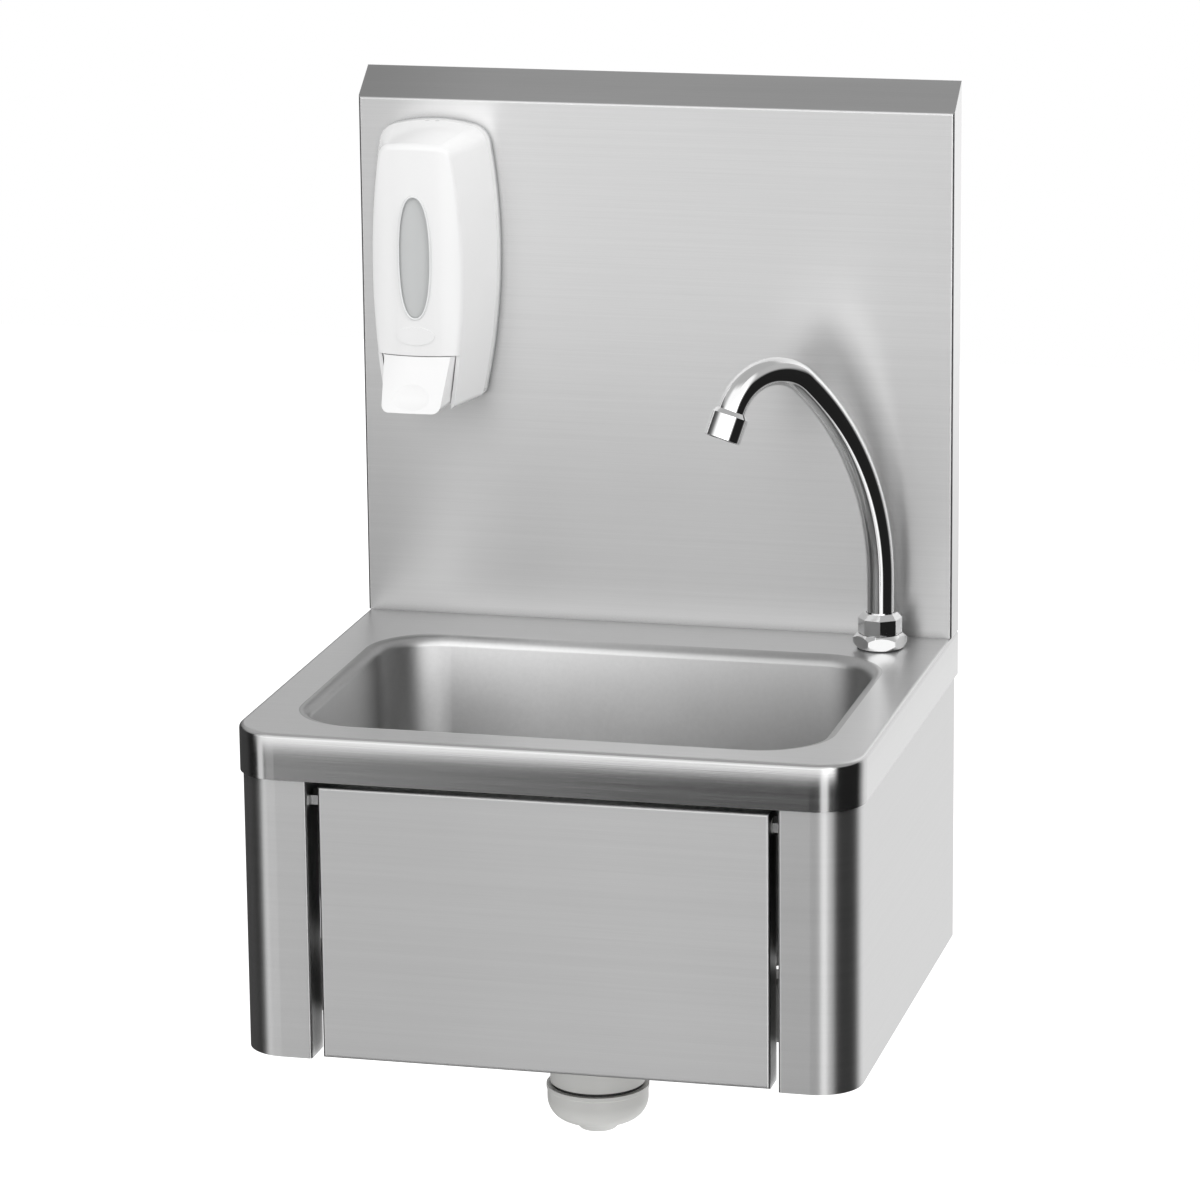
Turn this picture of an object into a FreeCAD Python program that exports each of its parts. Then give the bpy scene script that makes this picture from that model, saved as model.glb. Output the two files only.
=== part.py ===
import FreeCAD, Part
import os
from math import atan2, copysign, cos, hypot, pi, radians, sin, tan

# Wall-hung hand wash sink with a knee panel, a swan-neck spout and a soap dispenser.
# Millimetres. +X to the right, +Y into the wall, +Z up. The origin lies in the wall plane,
# midway between the two fixing holes of the rear rail. Pieces that meet take their sizes
# from the same values, and each clearance has a name.

Vector = FreeCAD.Vector
X, Y, Z = Vector(1, 0, 0), Vector(0, 1, 0), Vector(0, 0, 1)

# Overall
sink_width = 400.0
sink_depth = 340.0
deck_top = 62.0             # deck above the wall-fixing holes
casing_drop = 212.0         # deck down to the casing's lower edge
steel = 1.0                 # sheet of deck, bowl, splashback, casing and knee panel
rail_steel = 2.0            # sheet of the two hidden rails
overrun = 1.0               # how far a cutting shape runs past what it cuts

# Deck
apron_height = 30.0
apron_corner = 30.0
apron_fold = 3.0
hem_height = 7.0

# Bowl
bowl_side_margin = 27.5
bowl_front_margin = 24.0
bowl_back_margin = 79.0
bowl_depth = 150.0
bowl_corner = 47.0
bowl_roll = 7.0
bowl_draft = radians(2.0)
bowl_floor_bend = 30.0
recess_radius = 44.0
recess_depth = 4.0

# Splashback
splash_depth = 25.0
splash_height = 349.0
splash_slope_rise = 18.0
splash_fold = 2.0

# Casing and its rails
post_width = 50.0           # from the sink's side to the opening
return_flange = 24.0
rear_flange = 22.0
casing_fold = 2.0
wall_hole_inset = 60.0      # from the sink's side
wall_hole_radius = 4.5
lower_hole_height = 24.0    # above the casing's lower edge
rear_rail_below = 22.0      # rail below its holes
rear_rail_flange = 24.0
cross_rail_height = 42.0
cross_rail_flange = 22.0
cross_rail_setback = 58.0   # behind the apron's front
cross_rail_lift = 12.0      # above the casing's lower edge

# Knee panel and its pivots
panel_gap = 6.0
panel_setback = 4.0         # behind the casing's front
panel_top_gap = 4.5
panel_flange = 20.0
panel_fold = 2.0
pivot_setback = 14.0
pivot_below_panel_top = 10.0
pivot_radius = 3.0
pivot_clearance = 0.06
pivot_nut_size = 10.4
pivot_head_height = 4.0
pivot_nut_gap = 0.6
bush_radius = 5.0
bush_flange_radius = 7.0
bush_flange = 2.0
bush_proud = 0.3
end_nut_gap = 0.4
end_nut_height = 5.0
thread_end = 2.0

# Knee valve
valve_from_opening = 80.0   # from the right edge of the opening
valve_neck_radius = 13.0
valve_neck_length = 14.0
valve_body_radius = 17.0
valve_body_length = 58.0
valve_bore = 10.5
valve_water_bore = 6.0
valve_inlet_bore = 5.0
valve_cap_radius = 15.0
valve_cap_depth = 10.0
valve_cap_plate = 4.0
valve_nut_height = 6.0
valve_nut_size = 34.0
plunger_radius = 7.0
plunger_tip_radius = 20.0
plunger_clearance = 0.06
collar_clearance = 0.08
plunger_collar = 5.5
plunger_guide_radius = 3.0
plunger_guide_length = 26.0
plunger_rest_gap = 0.5
pad_radius = 14.0
pad_height = 10.0
pad_gap = 0.3
half_inch_thread = 10.48
stub_length = 14.0
stub_shoulder = 8.0
inlet_from_back = 18.0
spring_wire = 0.7
spring_turns = 6

# Supply pipe from the valve to the tap
pipe_radius = 6.0
pipe_wall = 1.0
pipe_bend = 40.0
pipe_first_run = 100.0      # valve outlet to the first bend's corner
pipe_nut_size = 24.0
pipe_nut_cover = 13.0
pipe_nut_neck = 8.0

# Tap
tap_from_side = 42.0
tap_from_splash = 30.0
tap_hole_clearance = 0.6
tap_gasket_thickness = 0.8
tap_gasket_radius = 15.0
base_hex = 30.8
base_height = 10.0
base_turn = 15.0            # degrees, one corner towards the front
neck_radius = 12.0
neck_height = 7.5
shank_length = 60.0
back_nut_size = 32.0
back_nut_height = 8.0
washer_radius = 19.0
washer_thickness = 2.5
union_nut_size = 26.6
union_nut_straight = 10.3
union_nut_chamfer = 3.7
union_nut_gap = 0.2
union_hole_gap = 0.3
swivel_washer_thickness = 0.3
collar_height = 2.0
collar_radius = 10.8
collar_gap = 0.4

# Spout
spout_radius = 9.0
spout_wall = 1.5
spout_fit = 0.05
spout_socket_depth = 9.5
spout_rise = 46.0           # height where the bend starts
spout_heading = 226.0       # degrees from +X, towards the middle of the bowl
large_bend = 190.0
large_bend_turn = 47.2
small_bend = 34.0
spout_end_turn = 157.0
spout_tail = 8.0
aerator_radius = 12.0
aerator_length = 19.0
aerator_start = 1.5
aerator_shoulder = 3.0
aerator_wall = 1.8
aerator_recess = 1.0
aerator_hole = 1.5
aerator_hole_ring = 5.6
aerator_holes = 6

# Waste and bottle trap
waste_hole = 32.0
grid_radius = 39.0
grid_thickness = 1.6
grid_skirt = 4.0
outer_holes = 8
outer_hole_radius = 4.2
outer_hole_ring = 24.0
inner_holes = 6
inner_hole_radius = 2.8
inner_hole_ring = 14.0
waste_gasket_thickness = 2.0
waste_flange_radius = 40.0
waste_flange_thickness = 4.0
waste_cone_height = 23.0
tail_radius = 21.0
plastic_wall = 3.0
tail_length = 16.0
waste_screw_radius = 3.0
waste_screw_head = 6.0
waste_screw_length = 26.0
bridge_width = 8.0
bridge_height = 5.0
trap_radius = 31.0
trap_height = 54.0
trap_collar_radius = 24.0
trap_fit = 0.1
trap_nut_radius = 27.5
trap_nut_height = 16.0
grip_count = 12
grip_radius = 2.0
trap_spigot_radius = 29.0
trap_spigot_length = 14.0
dip_radius = 17.0
dip_wall = 2.0
dip_length = 78.0
dip_flange = 2.0
seal_thickness = 2.0
cup_radius = 33.5
cup_straight = 9.0
cup_bend = 15.0
cup_height = 30.0
cup_foot_radius = 12.0
cup_band = 2.5
cup_band_step = 0.5
branch_drop = 25.0          # trap shoulder down to the outlet axis
branch_length = 22.0
outlet_radius = 16.0
outlet_wall = 2.0
outlet_insert = 16.0
outlet_step = 0.4           # the end that goes into the trap is turned down by this
outlet_step_reach = 1.0     # and shows this far outside the nut

# Soap dispenser; heights are above the deck
soap_from_side = 54.0
soap_foot = 152.0           # underside of the cover
soap_crown_radius = 108.0
soap_low_corner = 5.0
soap_height = 185.0         # at the back
soap_half_width = 42.5
soap_widest = 100.0         # above the underside
soap_side_radius = 430.0
soap_corner = 14.0
soap_flange = 8.0           # straight stretch next to the plate
soap_taper = 54.0           # depth over which the sides lean in
soap_front_drop = 9.0       # the crown falls this far to where the sides would end
soap_front_half_width = 27.5
soap_front_widest = 90.0
soap_front_side_radius = 600.0
soap_front_corner = 8.0
soap_depth = 61.5
soap_dome_radius = 65.0     # the front's round, about an upright line
soap_edge = 4.0
soap_wall = 2.5
soap_plate = 3.0
soap_plate_gap = 0.3
soap_seam_height = 189.0
soap_seam_gap = 0.6
lever_edge_depth = 8.0      # from the face to the line where the lever meets the cover
lever_depth = 14.5
lever_height = 35.0         # below the seam
lever_reach = 17.5          # how far its foot stands out in front of the face
lever_half_width = 22.5
lever_foot_half_width = 19.6
lever_foot_bow = 1.2
lever_side_gap = 0.6
lever_foot_corner = 5.0
lever_edge = 1.5
lever_wall = 3.0
lever_swing_room = 7.0
lever_foot_gap = 1.0
lever_open_half = 14.0
lever_rib_half = 7.0        # the rib that presses on the pump
lever_rib_rise = 7.0        # above the pump's axis
lever_ear_depth = 8.0
lever_ear_height = 9.0
lever_ear_length = 7.0
lever_pin_radius = 1.5
lever_pin_clearance = 0.06
lever_pin_inset = 17.0
lever_pin_cover = 1.5       # plastic left over the pin's end
thumb_half_width = 15.0
thumb_half_height = 9.0
thumb_depth = 1.6
thumb_above_foot = 9.5
window_half_width = 11.4
window_half_height = 41.0
window_above_seam = 65.0
window_squareness = 2.3
window_recess = 1.2
window_lip = 2.0
window_lip_thickness = 1.0
badge_half_width = 12.7
badge_half_height = 6.0
badge_above_seam = 13.0
badge_raise = 0.5
hinge_from_splash = 8.0
hinge_above_foot = 4.0
hinge_pin_radius = 2.0
hinge_pin_clearance = 0.06
hinge_lug_radius = 4.0
hinge_ear_inner = 20.0
hinge_ear_outer = 24.0
hinge_lug_gap = 0.6
hinge_lug_length = 6.0
hinge_pin_cover = 1.0
reservoir_inset = 5.0
reservoir_wall = 1.5
reservoir_above_seam = 7.0
reservoir_height = 124.0
lid_thickness = 2.0
ledge_thickness = 3.0
ledge_half_width = 22.0
ledge_depth = 34.0
pump_neck_radius = 9.0
pump_housing_radius = 8.0
pump_below_seam = 24.0
pump_from_splash = 24.0
pump_front = 34.0           # from the splashback to the housing's front
pump_back = 12.0
pump_rod_radius = 4.5
pump_rod_clearance = 0.06
pump_rod_cover = 7.0
pump_stroke_room = 10.0
pump_head_radius = 8.0
pump_gap = 0.3
pump_collar_radius = 7.4
pump_collar_thickness = 1.5
pump_collar_from_tip = 7.0
pump_spring_radius = 6.0
pump_spring_wire = 0.55
pump_spring_turns = 4
spigot_length = 10.0        # below the pump's axis
spigot_wall = 2.0
nozzle_radius = 3.0
nozzle_bore = 1.5
nozzle_length = 9.0
nozzle_seat = 3.0
soap_screw_radius = 2.0
soap_screw_head = 4.0
soap_screw_length = 12.0
soap_screw_low = 11.0       # above the seam
soap_screw_high = 111.0
soap_screw_half_spacing = 14.0
key_slot_width = 3.0
key_slot_height = 1.2
key_slot_spacing = 7.0
key_slot_from_splash = 12.0
catch_width = 16.0
catch_depth = 5.0
catch_height = 5.0

# Places worked out from the sizes above
half_width = sink_width / 2
deck_under = deck_top - steel
apron_foot = deck_top - apron_height
casing_inset = 2 * steel
casing_half = half_width - casing_inset
casing_front = -(sink_depth - casing_inset)
casing_foot = deck_top - casing_drop
opening_half = half_width - post_width
bowl_width = sink_width - 2 * bowl_side_margin
bowl_length = sink_depth - bowl_front_margin - bowl_back_margin
bowl_y = -(sink_depth - bowl_front_margin - bowl_length / 2)
bowl_floor = deck_top - bowl_depth
recess_floor = bowl_floor - recess_depth
splash_face = -splash_depth
panel_half = opening_half - panel_gap
panel_front = casing_front + panel_setback
panel_top = apron_foot - panel_top_gap
panel_back = panel_front + panel_flange
pivot = Vector(0, casing_front + pivot_setback, panel_top - pivot_below_panel_top)
cross_rail_front = -(sink_depth - cross_rail_setback)
cross_rail_low = casing_foot + cross_rail_lift
valve_x = opening_half - valve_from_opening
valve_z = cross_rail_low + cross_rail_height / 2
valve_shoulder = cross_rail_front + rail_steel
valve_neck_front = cross_rail_front - valve_neck_length
valve_back = valve_shoulder + valve_body_length
tap = Vector(half_width - tap_from_side, splash_face - tap_from_splash, deck_top)
base_top = deck_top + base_height
neck_top = base_top + neck_height
shank_foot = deck_top - shank_length
soap_x = soap_from_side - half_width
soap_low = deck_top + soap_foot
soap_front_height = soap_height - soap_front_drop
soap_seam = deck_top + soap_seam_height
soap_face = splash_face - soap_depth
soap_back = splash_face - soap_plate
soap_flange_front = soap_back - soap_flange
soap_taper_end = soap_flange_front - soap_taper
lever_back = soap_face + lever_depth
lever_edge_y = soap_face + lever_edge_depth
lever_top = soap_seam - soap_seam_gap
lever_foot = soap_seam - lever_height
reservoir_low = soap_seam + reservoir_above_seam
reservoir_high = reservoir_low + reservoir_height
pump_z = soap_seam - pump_below_seam
pump_rod_end = splash_face - pump_front + pump_rod_cover
nozzle_top = pump_z - spigot_length + nozzle_seat
waste_flange_top = recess_floor - steel - waste_gasket_thickness
waste_cone_top = waste_flange_top - waste_flange_thickness
waste_cone_foot = waste_cone_top - waste_cone_height
tail_foot = waste_cone_foot - tail_length
trap_shoulder = tail_foot - dip_flange - 2 * plastic_wall
trap_foot = trap_shoulder - trap_height
outlet_z = trap_shoulder - branch_drop
cup_top = trap_foot - seal_thickness


# Helpers
def line(start, end):
    return Part.LineSegment(start, end).toShape()


def route(points, radii):
    """Straight runs joined by tangent arcs; one radius for each inner point."""
    edges = []
    start = points[0]
    for before, here, after, radius in zip(points, points[1:], points[2:], radii):
        back = (before - here).normalize()
        onward = (after - here).normalize()
        half = back.getAngle(onward) / 2
        reach = radius / tan(half)
        first = here + back * reach
        last = here + onward * reach
        if (first - start).Length > 1e-6:
            edges.append(line(start, first))
        if radius > 0:
            middle = here + (back + onward).normalize() * (radius / sin(half) - radius)
            edges.append(Part.Arc(first, middle, last).toShape())
        start = last
    if (points[-1] - start).Length > 1e-6:
        edges.append(line(start, points[-1]))
    return edges


def outline(points, radii):
    """A closed face; the path starts in the middle of its last side."""
    middle = (points[0] + points[-1]) * 0.5
    return Part.Face(Part.Wire(route([middle] + points + [middle], radii)))


def sheet_face(points, radii, thickness, normal):
    """The section of a folded sheet: a path and its offset to the left, seen along the normal."""
    steps = [(after - before).normalize() for before, after in zip(points, points[1:])]
    lefts = [normal.cross(step) for step in steps]
    inner = [points[0] + lefts[0] * thickness]
    inner_radii = []
    for here, left, next_left, step, radius in zip(points[1:], lefts, lefts[1:], steps[1:], radii):
        inner.append(here + (left + next_left) * (thickness / (1 + left.dot(next_left))))
        change = -thickness if left.dot(step) > 0 else thickness
        inner_radii.append(radius + change if radius + change > 0 else 0)
    inner.append(points[-1] + lefts[-1] * thickness)
    edges = route(points, radii) + [line(points[-1], inner[-1])]
    edges += list(reversed(route(inner, inner_radii))) + [line(inner[0], points[0])]
    return Part.Face(Part.Wire(Part.__sortEdges__(edges)))


def rectangle_corners(half_x, half_y, centre_y, height):
    signs = [(-1, -1), (1, -1), (1, 1), (-1, 1)]
    return [Vector(sx * half_x, centre_y + sy * half_y, height) for sx, sy in signs]


def cylinder(radius, start, direction, length):
    return Part.makeCylinder(radius, length, start, direction)


def ring(outer, inner, start, direction, length):
    return cylinder(outer, start, direction, length).cut(cylinder(inner, start, direction, length))


def turned(profile, centre, direction):
    """A profile of (radius, distance along the axis) points, turned about the axis."""
    across = Z if abs(direction.dot(Z)) < 0.5 else X
    across = (across - direction * across.dot(direction)).normalize()
    points = [centre + across * radius + direction * along for radius, along in profile]
    return Part.Face(Part.makePolygon(points + points[:1])).revolve(centre, direction, 360)


def prism(sides, across_flats, start, direction, length, turn=0.0):
    """A regular prism along an axis, turned about it by some degrees."""
    across = X if abs(direction.dot(X)) < 0.5 else Z
    across = (across - direction * across.dot(direction)).normalize()
    other = direction.cross(across)
    reach = across_flats / 2 / cos(pi / sides)
    angles = [radians(turn) + 2 * pi * i / sides for i in range(sides)]
    points = [start + across * (reach * cos(a)) + other * (reach * sin(a)) for a in angles]
    return Part.Face(Part.makePolygon(points + points[:1])).extrude(direction * length)


def box(x, y, z):
    """A block between two values of each coordinate."""
    size = [high - low for low, high in (x, y, z)]
    return Part.makeBox(size[0], size[1], size[2], Vector(x[0], y[0], z[0]))


def both_sides(shape):
    """A shape and its mirror image across the middle plane."""
    return [shape, shape.mirror(Vector(0, 0, 0), X)]


def superellipse(half_x, half_z, power, x, y, z, count=28):
    """A smooth closed outline facing the front, squarer as the power grows."""
    points = []
    for i in range(count):
        angle = 2 * pi * (i + 0.5) / count
        across = copysign(abs(cos(angle)) ** (2 / power), cos(angle))
        upward = copysign(abs(sin(angle)) ** (2 / power), sin(angle))
        points.append(Vector(x + half_x * across, y, z + half_z * upward))
    curve = Part.BSplineCurve()
    curve.interpolate(points, PeriodicFlag=True)
    return Part.Wire(curve.toShape())


def oval_plate(half_x, half_z, power, x, z, front, thickness):
    face = Part.Face(superellipse(half_x, half_z, power, x, front, z))
    return face.extrude(Y * thickness)


def coil(radius, wire, turns, start, direction, length):
    """An open coil spring along an axis: one unbroken tube on pairs of arcs, two to a quarter turn."""
    across = X if abs(direction.dot(X)) < 0.5 else Z
    other = direction.cross(across)
    quarters = 4 * turns
    rise = (length - 2 * wire) / quarters
    slope = rise / (radius * pi / 2)
    corners = []
    reaches = []
    for i in range(quarters + 1):
        angle = pi / 2 * i
        place = across * (radius * cos(angle)) + other * (radius * sin(angle))
        point = start + direction * (wire + rise * i) + place
        heading = (other * cos(angle) - across * sin(angle) + direction * slope).normalize()
        if i > 0:
            span = point - last_point
            turn = 1 - heading.dot(last_heading)
            both = span.dot(heading + last_heading)
            reach = (-both + (both ** 2 + 2 * turn * span.dot(span)) ** 0.5) / (2 * turn)
            corners += [last_point + last_heading * reach, point - heading * reach]
            reaches += [reach, reach]
        last_point = point
        last_heading = heading
        if i == 0:
            first_point = point
            first_heading = heading
    points = [first_point] + corners + [last_point]
    radii = []
    for before, here, after, reach in zip(points, corners, points[2:], reaches):
        radii.append(reach * tan((before - here).getAngle(after - here) / 2))
    print("coil", turns, "turns, least gap between turns", round(4 * rise - 2 * wire, 2))
    section = Part.Wire(Part.makeCircle(wire, first_point, first_heading))
    return Part.Wire(route(points, radii)).makePipeShell([section], True, False)


def grips(count, radius, centre, direction, length, reach):
    """Round flutes to cut along a nut that is turned by hand."""
    across = X if abs(direction.dot(X)) < 0.5 else Z
    other = direction.cross(across)
    flutes = []
    for i in range(count):
        angle = 2 * pi * i / count
        side = across * (radius * cos(angle)) + other * (radius * sin(angle))
        flutes.append(cylinder(reach, centre + side, direction, length))
    return Part.Compound(flutes)


# Sheet metal
def tap_hole():
    return cylinder(half_inch_thread + tap_hole_clearance, tap - Z * 2 * steel, Z, 4 * steel)


def bowl_outline():
    return rectangle_corners(bowl_width / 2, bowl_length / 2, bowl_y, deck_top)


def deck():
    """The top plate with its folded apron and the doubled hem along the apron's lower edge."""
    lip = 4 * apron_fold
    corners = [Vector(-half_width, 0, deck_top), Vector(-half_width, -sink_depth, deck_top),
               Vector(half_width, -sink_depth, deck_top), Vector(half_width, 0, deck_top)]
    path = Part.Wire(route(corners, [apron_corner] * 2))
    fold = [corners[0] + X * lip, corners[0], corners[0] - Z * apron_height]
    section = sheet_face(fold, [apron_fold], steel, -Y)
    apron = path.makePipeShell([section.OuterWire], True, False)
    low = Vector(-half_width + steel, 0, apron_foot)
    hem_points = [low, low + X * steel, low + X * steel + Z * hem_height, low + Z * hem_height]
    hem = path.makePipeShell([Part.makePolygon(hem_points + hem_points[:1])], True, False)
    inset = half_width - lip
    front = lip - sink_depth
    plate_points = [Vector(-inset, 0, deck_under), Vector(-inset, front, deck_under),
                    Vector(inset, front, deck_under), Vector(inset, 0, deck_under)]
    bend = apron_corner - lip
    plate = outline(plate_points, [0, bend, bend, 0]).extrude(Z * steel)
    mouth = outline(bowl_outline(), [bowl_corner] * 4).extrude(Z * 4 * steel)
    mouth.translate(-Z * 2 * steel)
    return plate.fuse([apron, hem]).cut([mouth, tap_hole()]).removeSplitter()


def bowl():
    """A drawn bowl: rolled edge, sides with draft, large floor bend and a recess for the waste."""
    lean = tan(bowl_draft) * bowl_depth
    room = bowl_corner - bowl_roll - lean - 2 * steel
    bend = min(bowl_floor_bend, room - 2 * steel)
    reach = bowl_roll + lean + bend + 2 * steel
    path = Part.Wire(route_closed(bowl_outline(), [bowl_corner] * 4))
    start = Vector(-bowl_width / 2, bowl_y, deck_top)
    wall = [start, start + X * bowl_roll, start + X * (bowl_roll + lean) - Z * bowl_depth,
            start + X * reach - Z * bowl_depth]
    section = sheet_face(wall, [bowl_roll, bend], steel, Y)
    sides = path.makePipeShell([section.OuterWire], True, False)
    half_x = bowl_width / 2 - reach
    half_y = bowl_length / 2 - reach
    corners = rectangle_corners(half_x, half_y, bowl_y, bowl_floor - steel)
    floor = outline(corners, [bowl_corner - reach] * 4).extrude(Z * steel)
    floor = floor.cut(cylinder(recess_radius + 2 * steel, Vector(0, bowl_y, bowl_floor - 2 * steel), Z, 4 * steel))
    rim = Vector(recess_radius + 2 * steel, bowl_y, bowl_floor)
    step = [rim, rim - X * 2 * steel, rim - X * (2 * steel + recess_depth / 2) - Z * recess_depth,
            Vector(waste_hole, bowl_y, recess_floor)]
    dish = sheet_face(step, [2 * steel, 2 * steel], steel, -Y).revolve(Vector(0, bowl_y, 0), Z, 360)
    return sides.fuse([floor, dish]).removeSplitter()


def route_closed(points, radii):
    middle = (points[0] + points[-1]) * 0.5
    return route([middle] + points + [middle], radii)


def soap_screw_places():
    places = [Vector(soap_x, 0, soap_seam + soap_screw_high)]
    for side in (-1, 1):
        places.append(Vector(soap_x + side * soap_screw_half_spacing, 0, soap_seam + soap_screw_low))
    return places


def splashback():
    """A folded upstand: face, sloped top and side returns, open towards the wall."""
    crease = deck_top + splash_height
    profile = [Vector(-half_width, 0, deck_top), Vector(-half_width, splash_face, deck_top),
               Vector(-half_width, splash_face, crease),
               Vector(-half_width, 0, crease + splash_slope_rise)]
    block = Part.Face(Part.makePolygon(profile + profile[:1])).extrude(X * sink_width)
    folds = []
    for edge in block.Edges:
        middle = edge.CenterOfMass
        upright = abs(abs(middle.x) - half_width) < 1e-6 and abs(middle.y - splash_face) < 1e-6
        across = abs(middle.x) < 1e-6 and abs(middle.z - crease) < 1e-6
        if upright or across:
            folds.append(edge)
    block = block.makeFillet(splash_fold, folds)
    open_faces = [face for face in block.Faces
                  if abs(face.CenterOfMass.y) < 1e-6 or abs(face.CenterOfMass.z - deck_top) < 1e-6]
    shell = block.makeThickness(open_faces, -steel, 1e-3)
    start = Y * (splash_face - steel)
    holes = [cylinder(soap_screw_radius, place + start, Y, 4 * steel) for place in soap_screw_places()]
    return shell.cut(holes)


def right_casing_panel():
    """One side of the casing: rear flange, side, rounded corner, front strip and its return."""
    top = deck_top - apron_fold
    wall = [Vector(casing_half - rear_flange, 0, casing_foot), Vector(casing_half, 0, casing_foot),
            Vector(casing_half, casing_front, casing_foot),
            Vector(opening_half, casing_front, casing_foot),
            Vector(opening_half, casing_front + return_flange, casing_foot)]
    bends = [casing_fold, apron_corner - casing_inset, casing_fold]
    panel = sheet_face(wall, bends, steel, -Z).extrude(Z * (top - casing_foot))
    pivot_hole = cylinder(pivot_radius, pivot + X * (opening_half - steel), X, 4 * steel)
    flange_middle = casing_half - rear_flange / 2
    fixing = cylinder(wall_hole_radius, Vector(flange_middle, -2 * steel, casing_foot + lower_hole_height), Y, 4 * steel)
    return panel.cut([pivot_hole, fixing])


def rear_wall_rail():
    """An angle under the back of the deck, with the holes that hang the sink on the wall."""
    length = casing_half - rear_flange
    low = Vector(-length, 0, -rear_rail_below)
    corner = Vector(-length, 0, deck_under)
    angle = sheet_face([low, corner, corner - Y * rear_rail_flange], [2 * rail_steel], rail_steel, X)
    rail = angle.extrude(X * 2 * length)
    start = -Y * 2 * rail_steel
    reach = half_width - wall_hole_inset
    holes = [cylinder(wall_hole_radius, start + X * side * reach, Y, 4 * rail_steel) for side in (-1, 1)]
    return rail.cut(holes)


def cross_rail():
    """A channel from side to side that carries the knee valve."""
    inside = casing_half - steel
    low = Vector(-inside, cross_rail_front, cross_rail_low)
    high = low + Z * cross_rail_height
    back = Y * cross_rail_flange
    channel = sheet_face([low + back, low, high, high + back], [2 * rail_steel] * 2, rail_steel, -X)
    rail = channel.extrude(X * 2 * inside)
    hole = cylinder(valve_neck_radius, Vector(valve_x, cross_rail_front - rail_steel, valve_z), Y, 4 * rail_steel)
    return rail.cut(hole)


# Knee panel and its pivots
def knee_panel():
    """A shallow pan, folded back on all four sides, with a bush hole near each top corner."""
    block = box((-panel_half, panel_half), (panel_front, panel_back), (casing_foot, panel_top))
    folds = []
    for edge in block.Edges:
        ends = [vertex.Point for vertex in edge.Vertexes]
        if all(abs(end.y - panel_front) < 1e-6 for end in ends):
            folds.append(edge)
    block = block.makeFillet(panel_fold, folds)
    back = [face for face in block.Faces if abs(face.CenterOfMass.y - panel_back) < 1e-6]
    pan = block.makeThickness(back, -steel, 1e-3)
    hole = cylinder(bush_radius, pivot + X * (panel_half - 2 * steel), X, 4 * steel)
    return pan.cut(both_sides(hole))


def pivot_bushes():
    outside = panel_half + bush_proud
    inside = panel_half - steel
    body = cylinder(bush_radius, pivot + X * inside, X, outside - inside)
    flange = cylinder(bush_flange_radius, pivot + X * (inside - bush_flange), X, bush_flange)
    hole = cylinder(pivot_radius + pivot_clearance, pivot + X * (inside - 2 * bush_flange), X, 4 * bush_flange)
    return Part.Compound(both_sides(body.fuse(flange).cut(hole)))


def pivot_bolts():
    outside = opening_half + steel
    end = end_nut_start() - thread_end
    head = prism(6, pivot_nut_size, pivot + X * outside, X, pivot_head_height)
    shank = cylinder(pivot_radius, pivot + X * end, X, outside - end)
    return Part.Compound(both_sides(head.fuse(shank)))


def pivot_nuts():
    """The nuts that show in the gaps, tight against the casing's returns."""
    start = panel_half + pivot_nut_gap
    nut = prism(6, pivot_nut_size, pivot + X * start, X, opening_half - start)
    nut = nut.cut(cylinder(pivot_radius, pivot + X * (start - steel), X, 2 * panel_gap))
    return Part.Compound(both_sides(nut))


def end_nut_start():
    return panel_half - steel - bush_flange - end_nut_gap - end_nut_height


def pivot_end_nuts():
    start = end_nut_start()
    nut = prism(6, pivot_nut_size, pivot + X * start, X, end_nut_height)
    nut = nut.cut(cylinder(pivot_radius, pivot + X * (start - steel), X, 2 * end_nut_height))
    return Part.Compound(both_sides(nut))


def push_pad():
    start = Vector(valve_x, panel_front + steel, valve_z)
    edge = pad_height / 5
    profile = [(0, 0), (pad_radius, 0), (pad_radius, pad_height - edge),
               (pad_radius - edge, pad_height), (0, pad_height)]
    return turned(profile, start, Y)


# Knee valve, worked along the line of its plunger
def valve_line(y):
    return Vector(valve_x, y, valve_z)


def valve_body():
    """Neck through the rail, round body, inlet stub to the side and outlet stub to the back."""
    neck = cylinder(valve_neck_radius, valve_line(valve_neck_front), Y, valve_shoulder - valve_neck_front)
    chamfer = 2.0
    body = turned([(0, 0), (valve_body_radius, 0), (valve_body_radius, valve_body_length - chamfer),
                   (valve_body_radius - chamfer, valve_body_length), (0, valve_body_length)],
                  valve_line(valve_shoulder), Y)
    outlet = cylinder(half_inch_thread, valve_line(valve_back), Y, stub_length)
    inlet_y = valve_back - inlet_from_back
    shoulder = cylinder(half_inch_thread + 2.5, valve_line(inlet_y), X, valve_body_radius + stub_shoulder)
    inlet = cylinder(half_inch_thread, valve_line(inlet_y), X, valve_body_radius + stub_shoulder + stub_length)
    bore_end = inlet_y - valve_water_bore - 2.0
    bore = cylinder(valve_bore, valve_line(valve_neck_front), Y, bore_end - valve_neck_front)
    water_out = cylinder(valve_water_bore, valve_line(bore_end - 1.0), Y, valve_back + stub_length - bore_end + 2.0)
    water_in = cylinder(valve_inlet_bore, valve_line(inlet_y), X, 2 * (valve_body_radius + stub_length))
    return neck.fuse([body, outlet, shoulder, inlet]).cut([bore, water_out, water_in]).removeSplitter()


def valve_cap():
    start = valve_neck_front - valve_cap_plate
    cap = cylinder(valve_cap_radius, valve_line(start), Y, valve_cap_depth)
    hole = cylinder(plunger_radius + plunger_clearance, valve_line(start - 1.0), Y, valve_cap_depth)
    seat = cylinder(valve_neck_radius, valve_line(valve_neck_front), Y, valve_cap_depth)
    return cap.cut([hole, seat])


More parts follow.
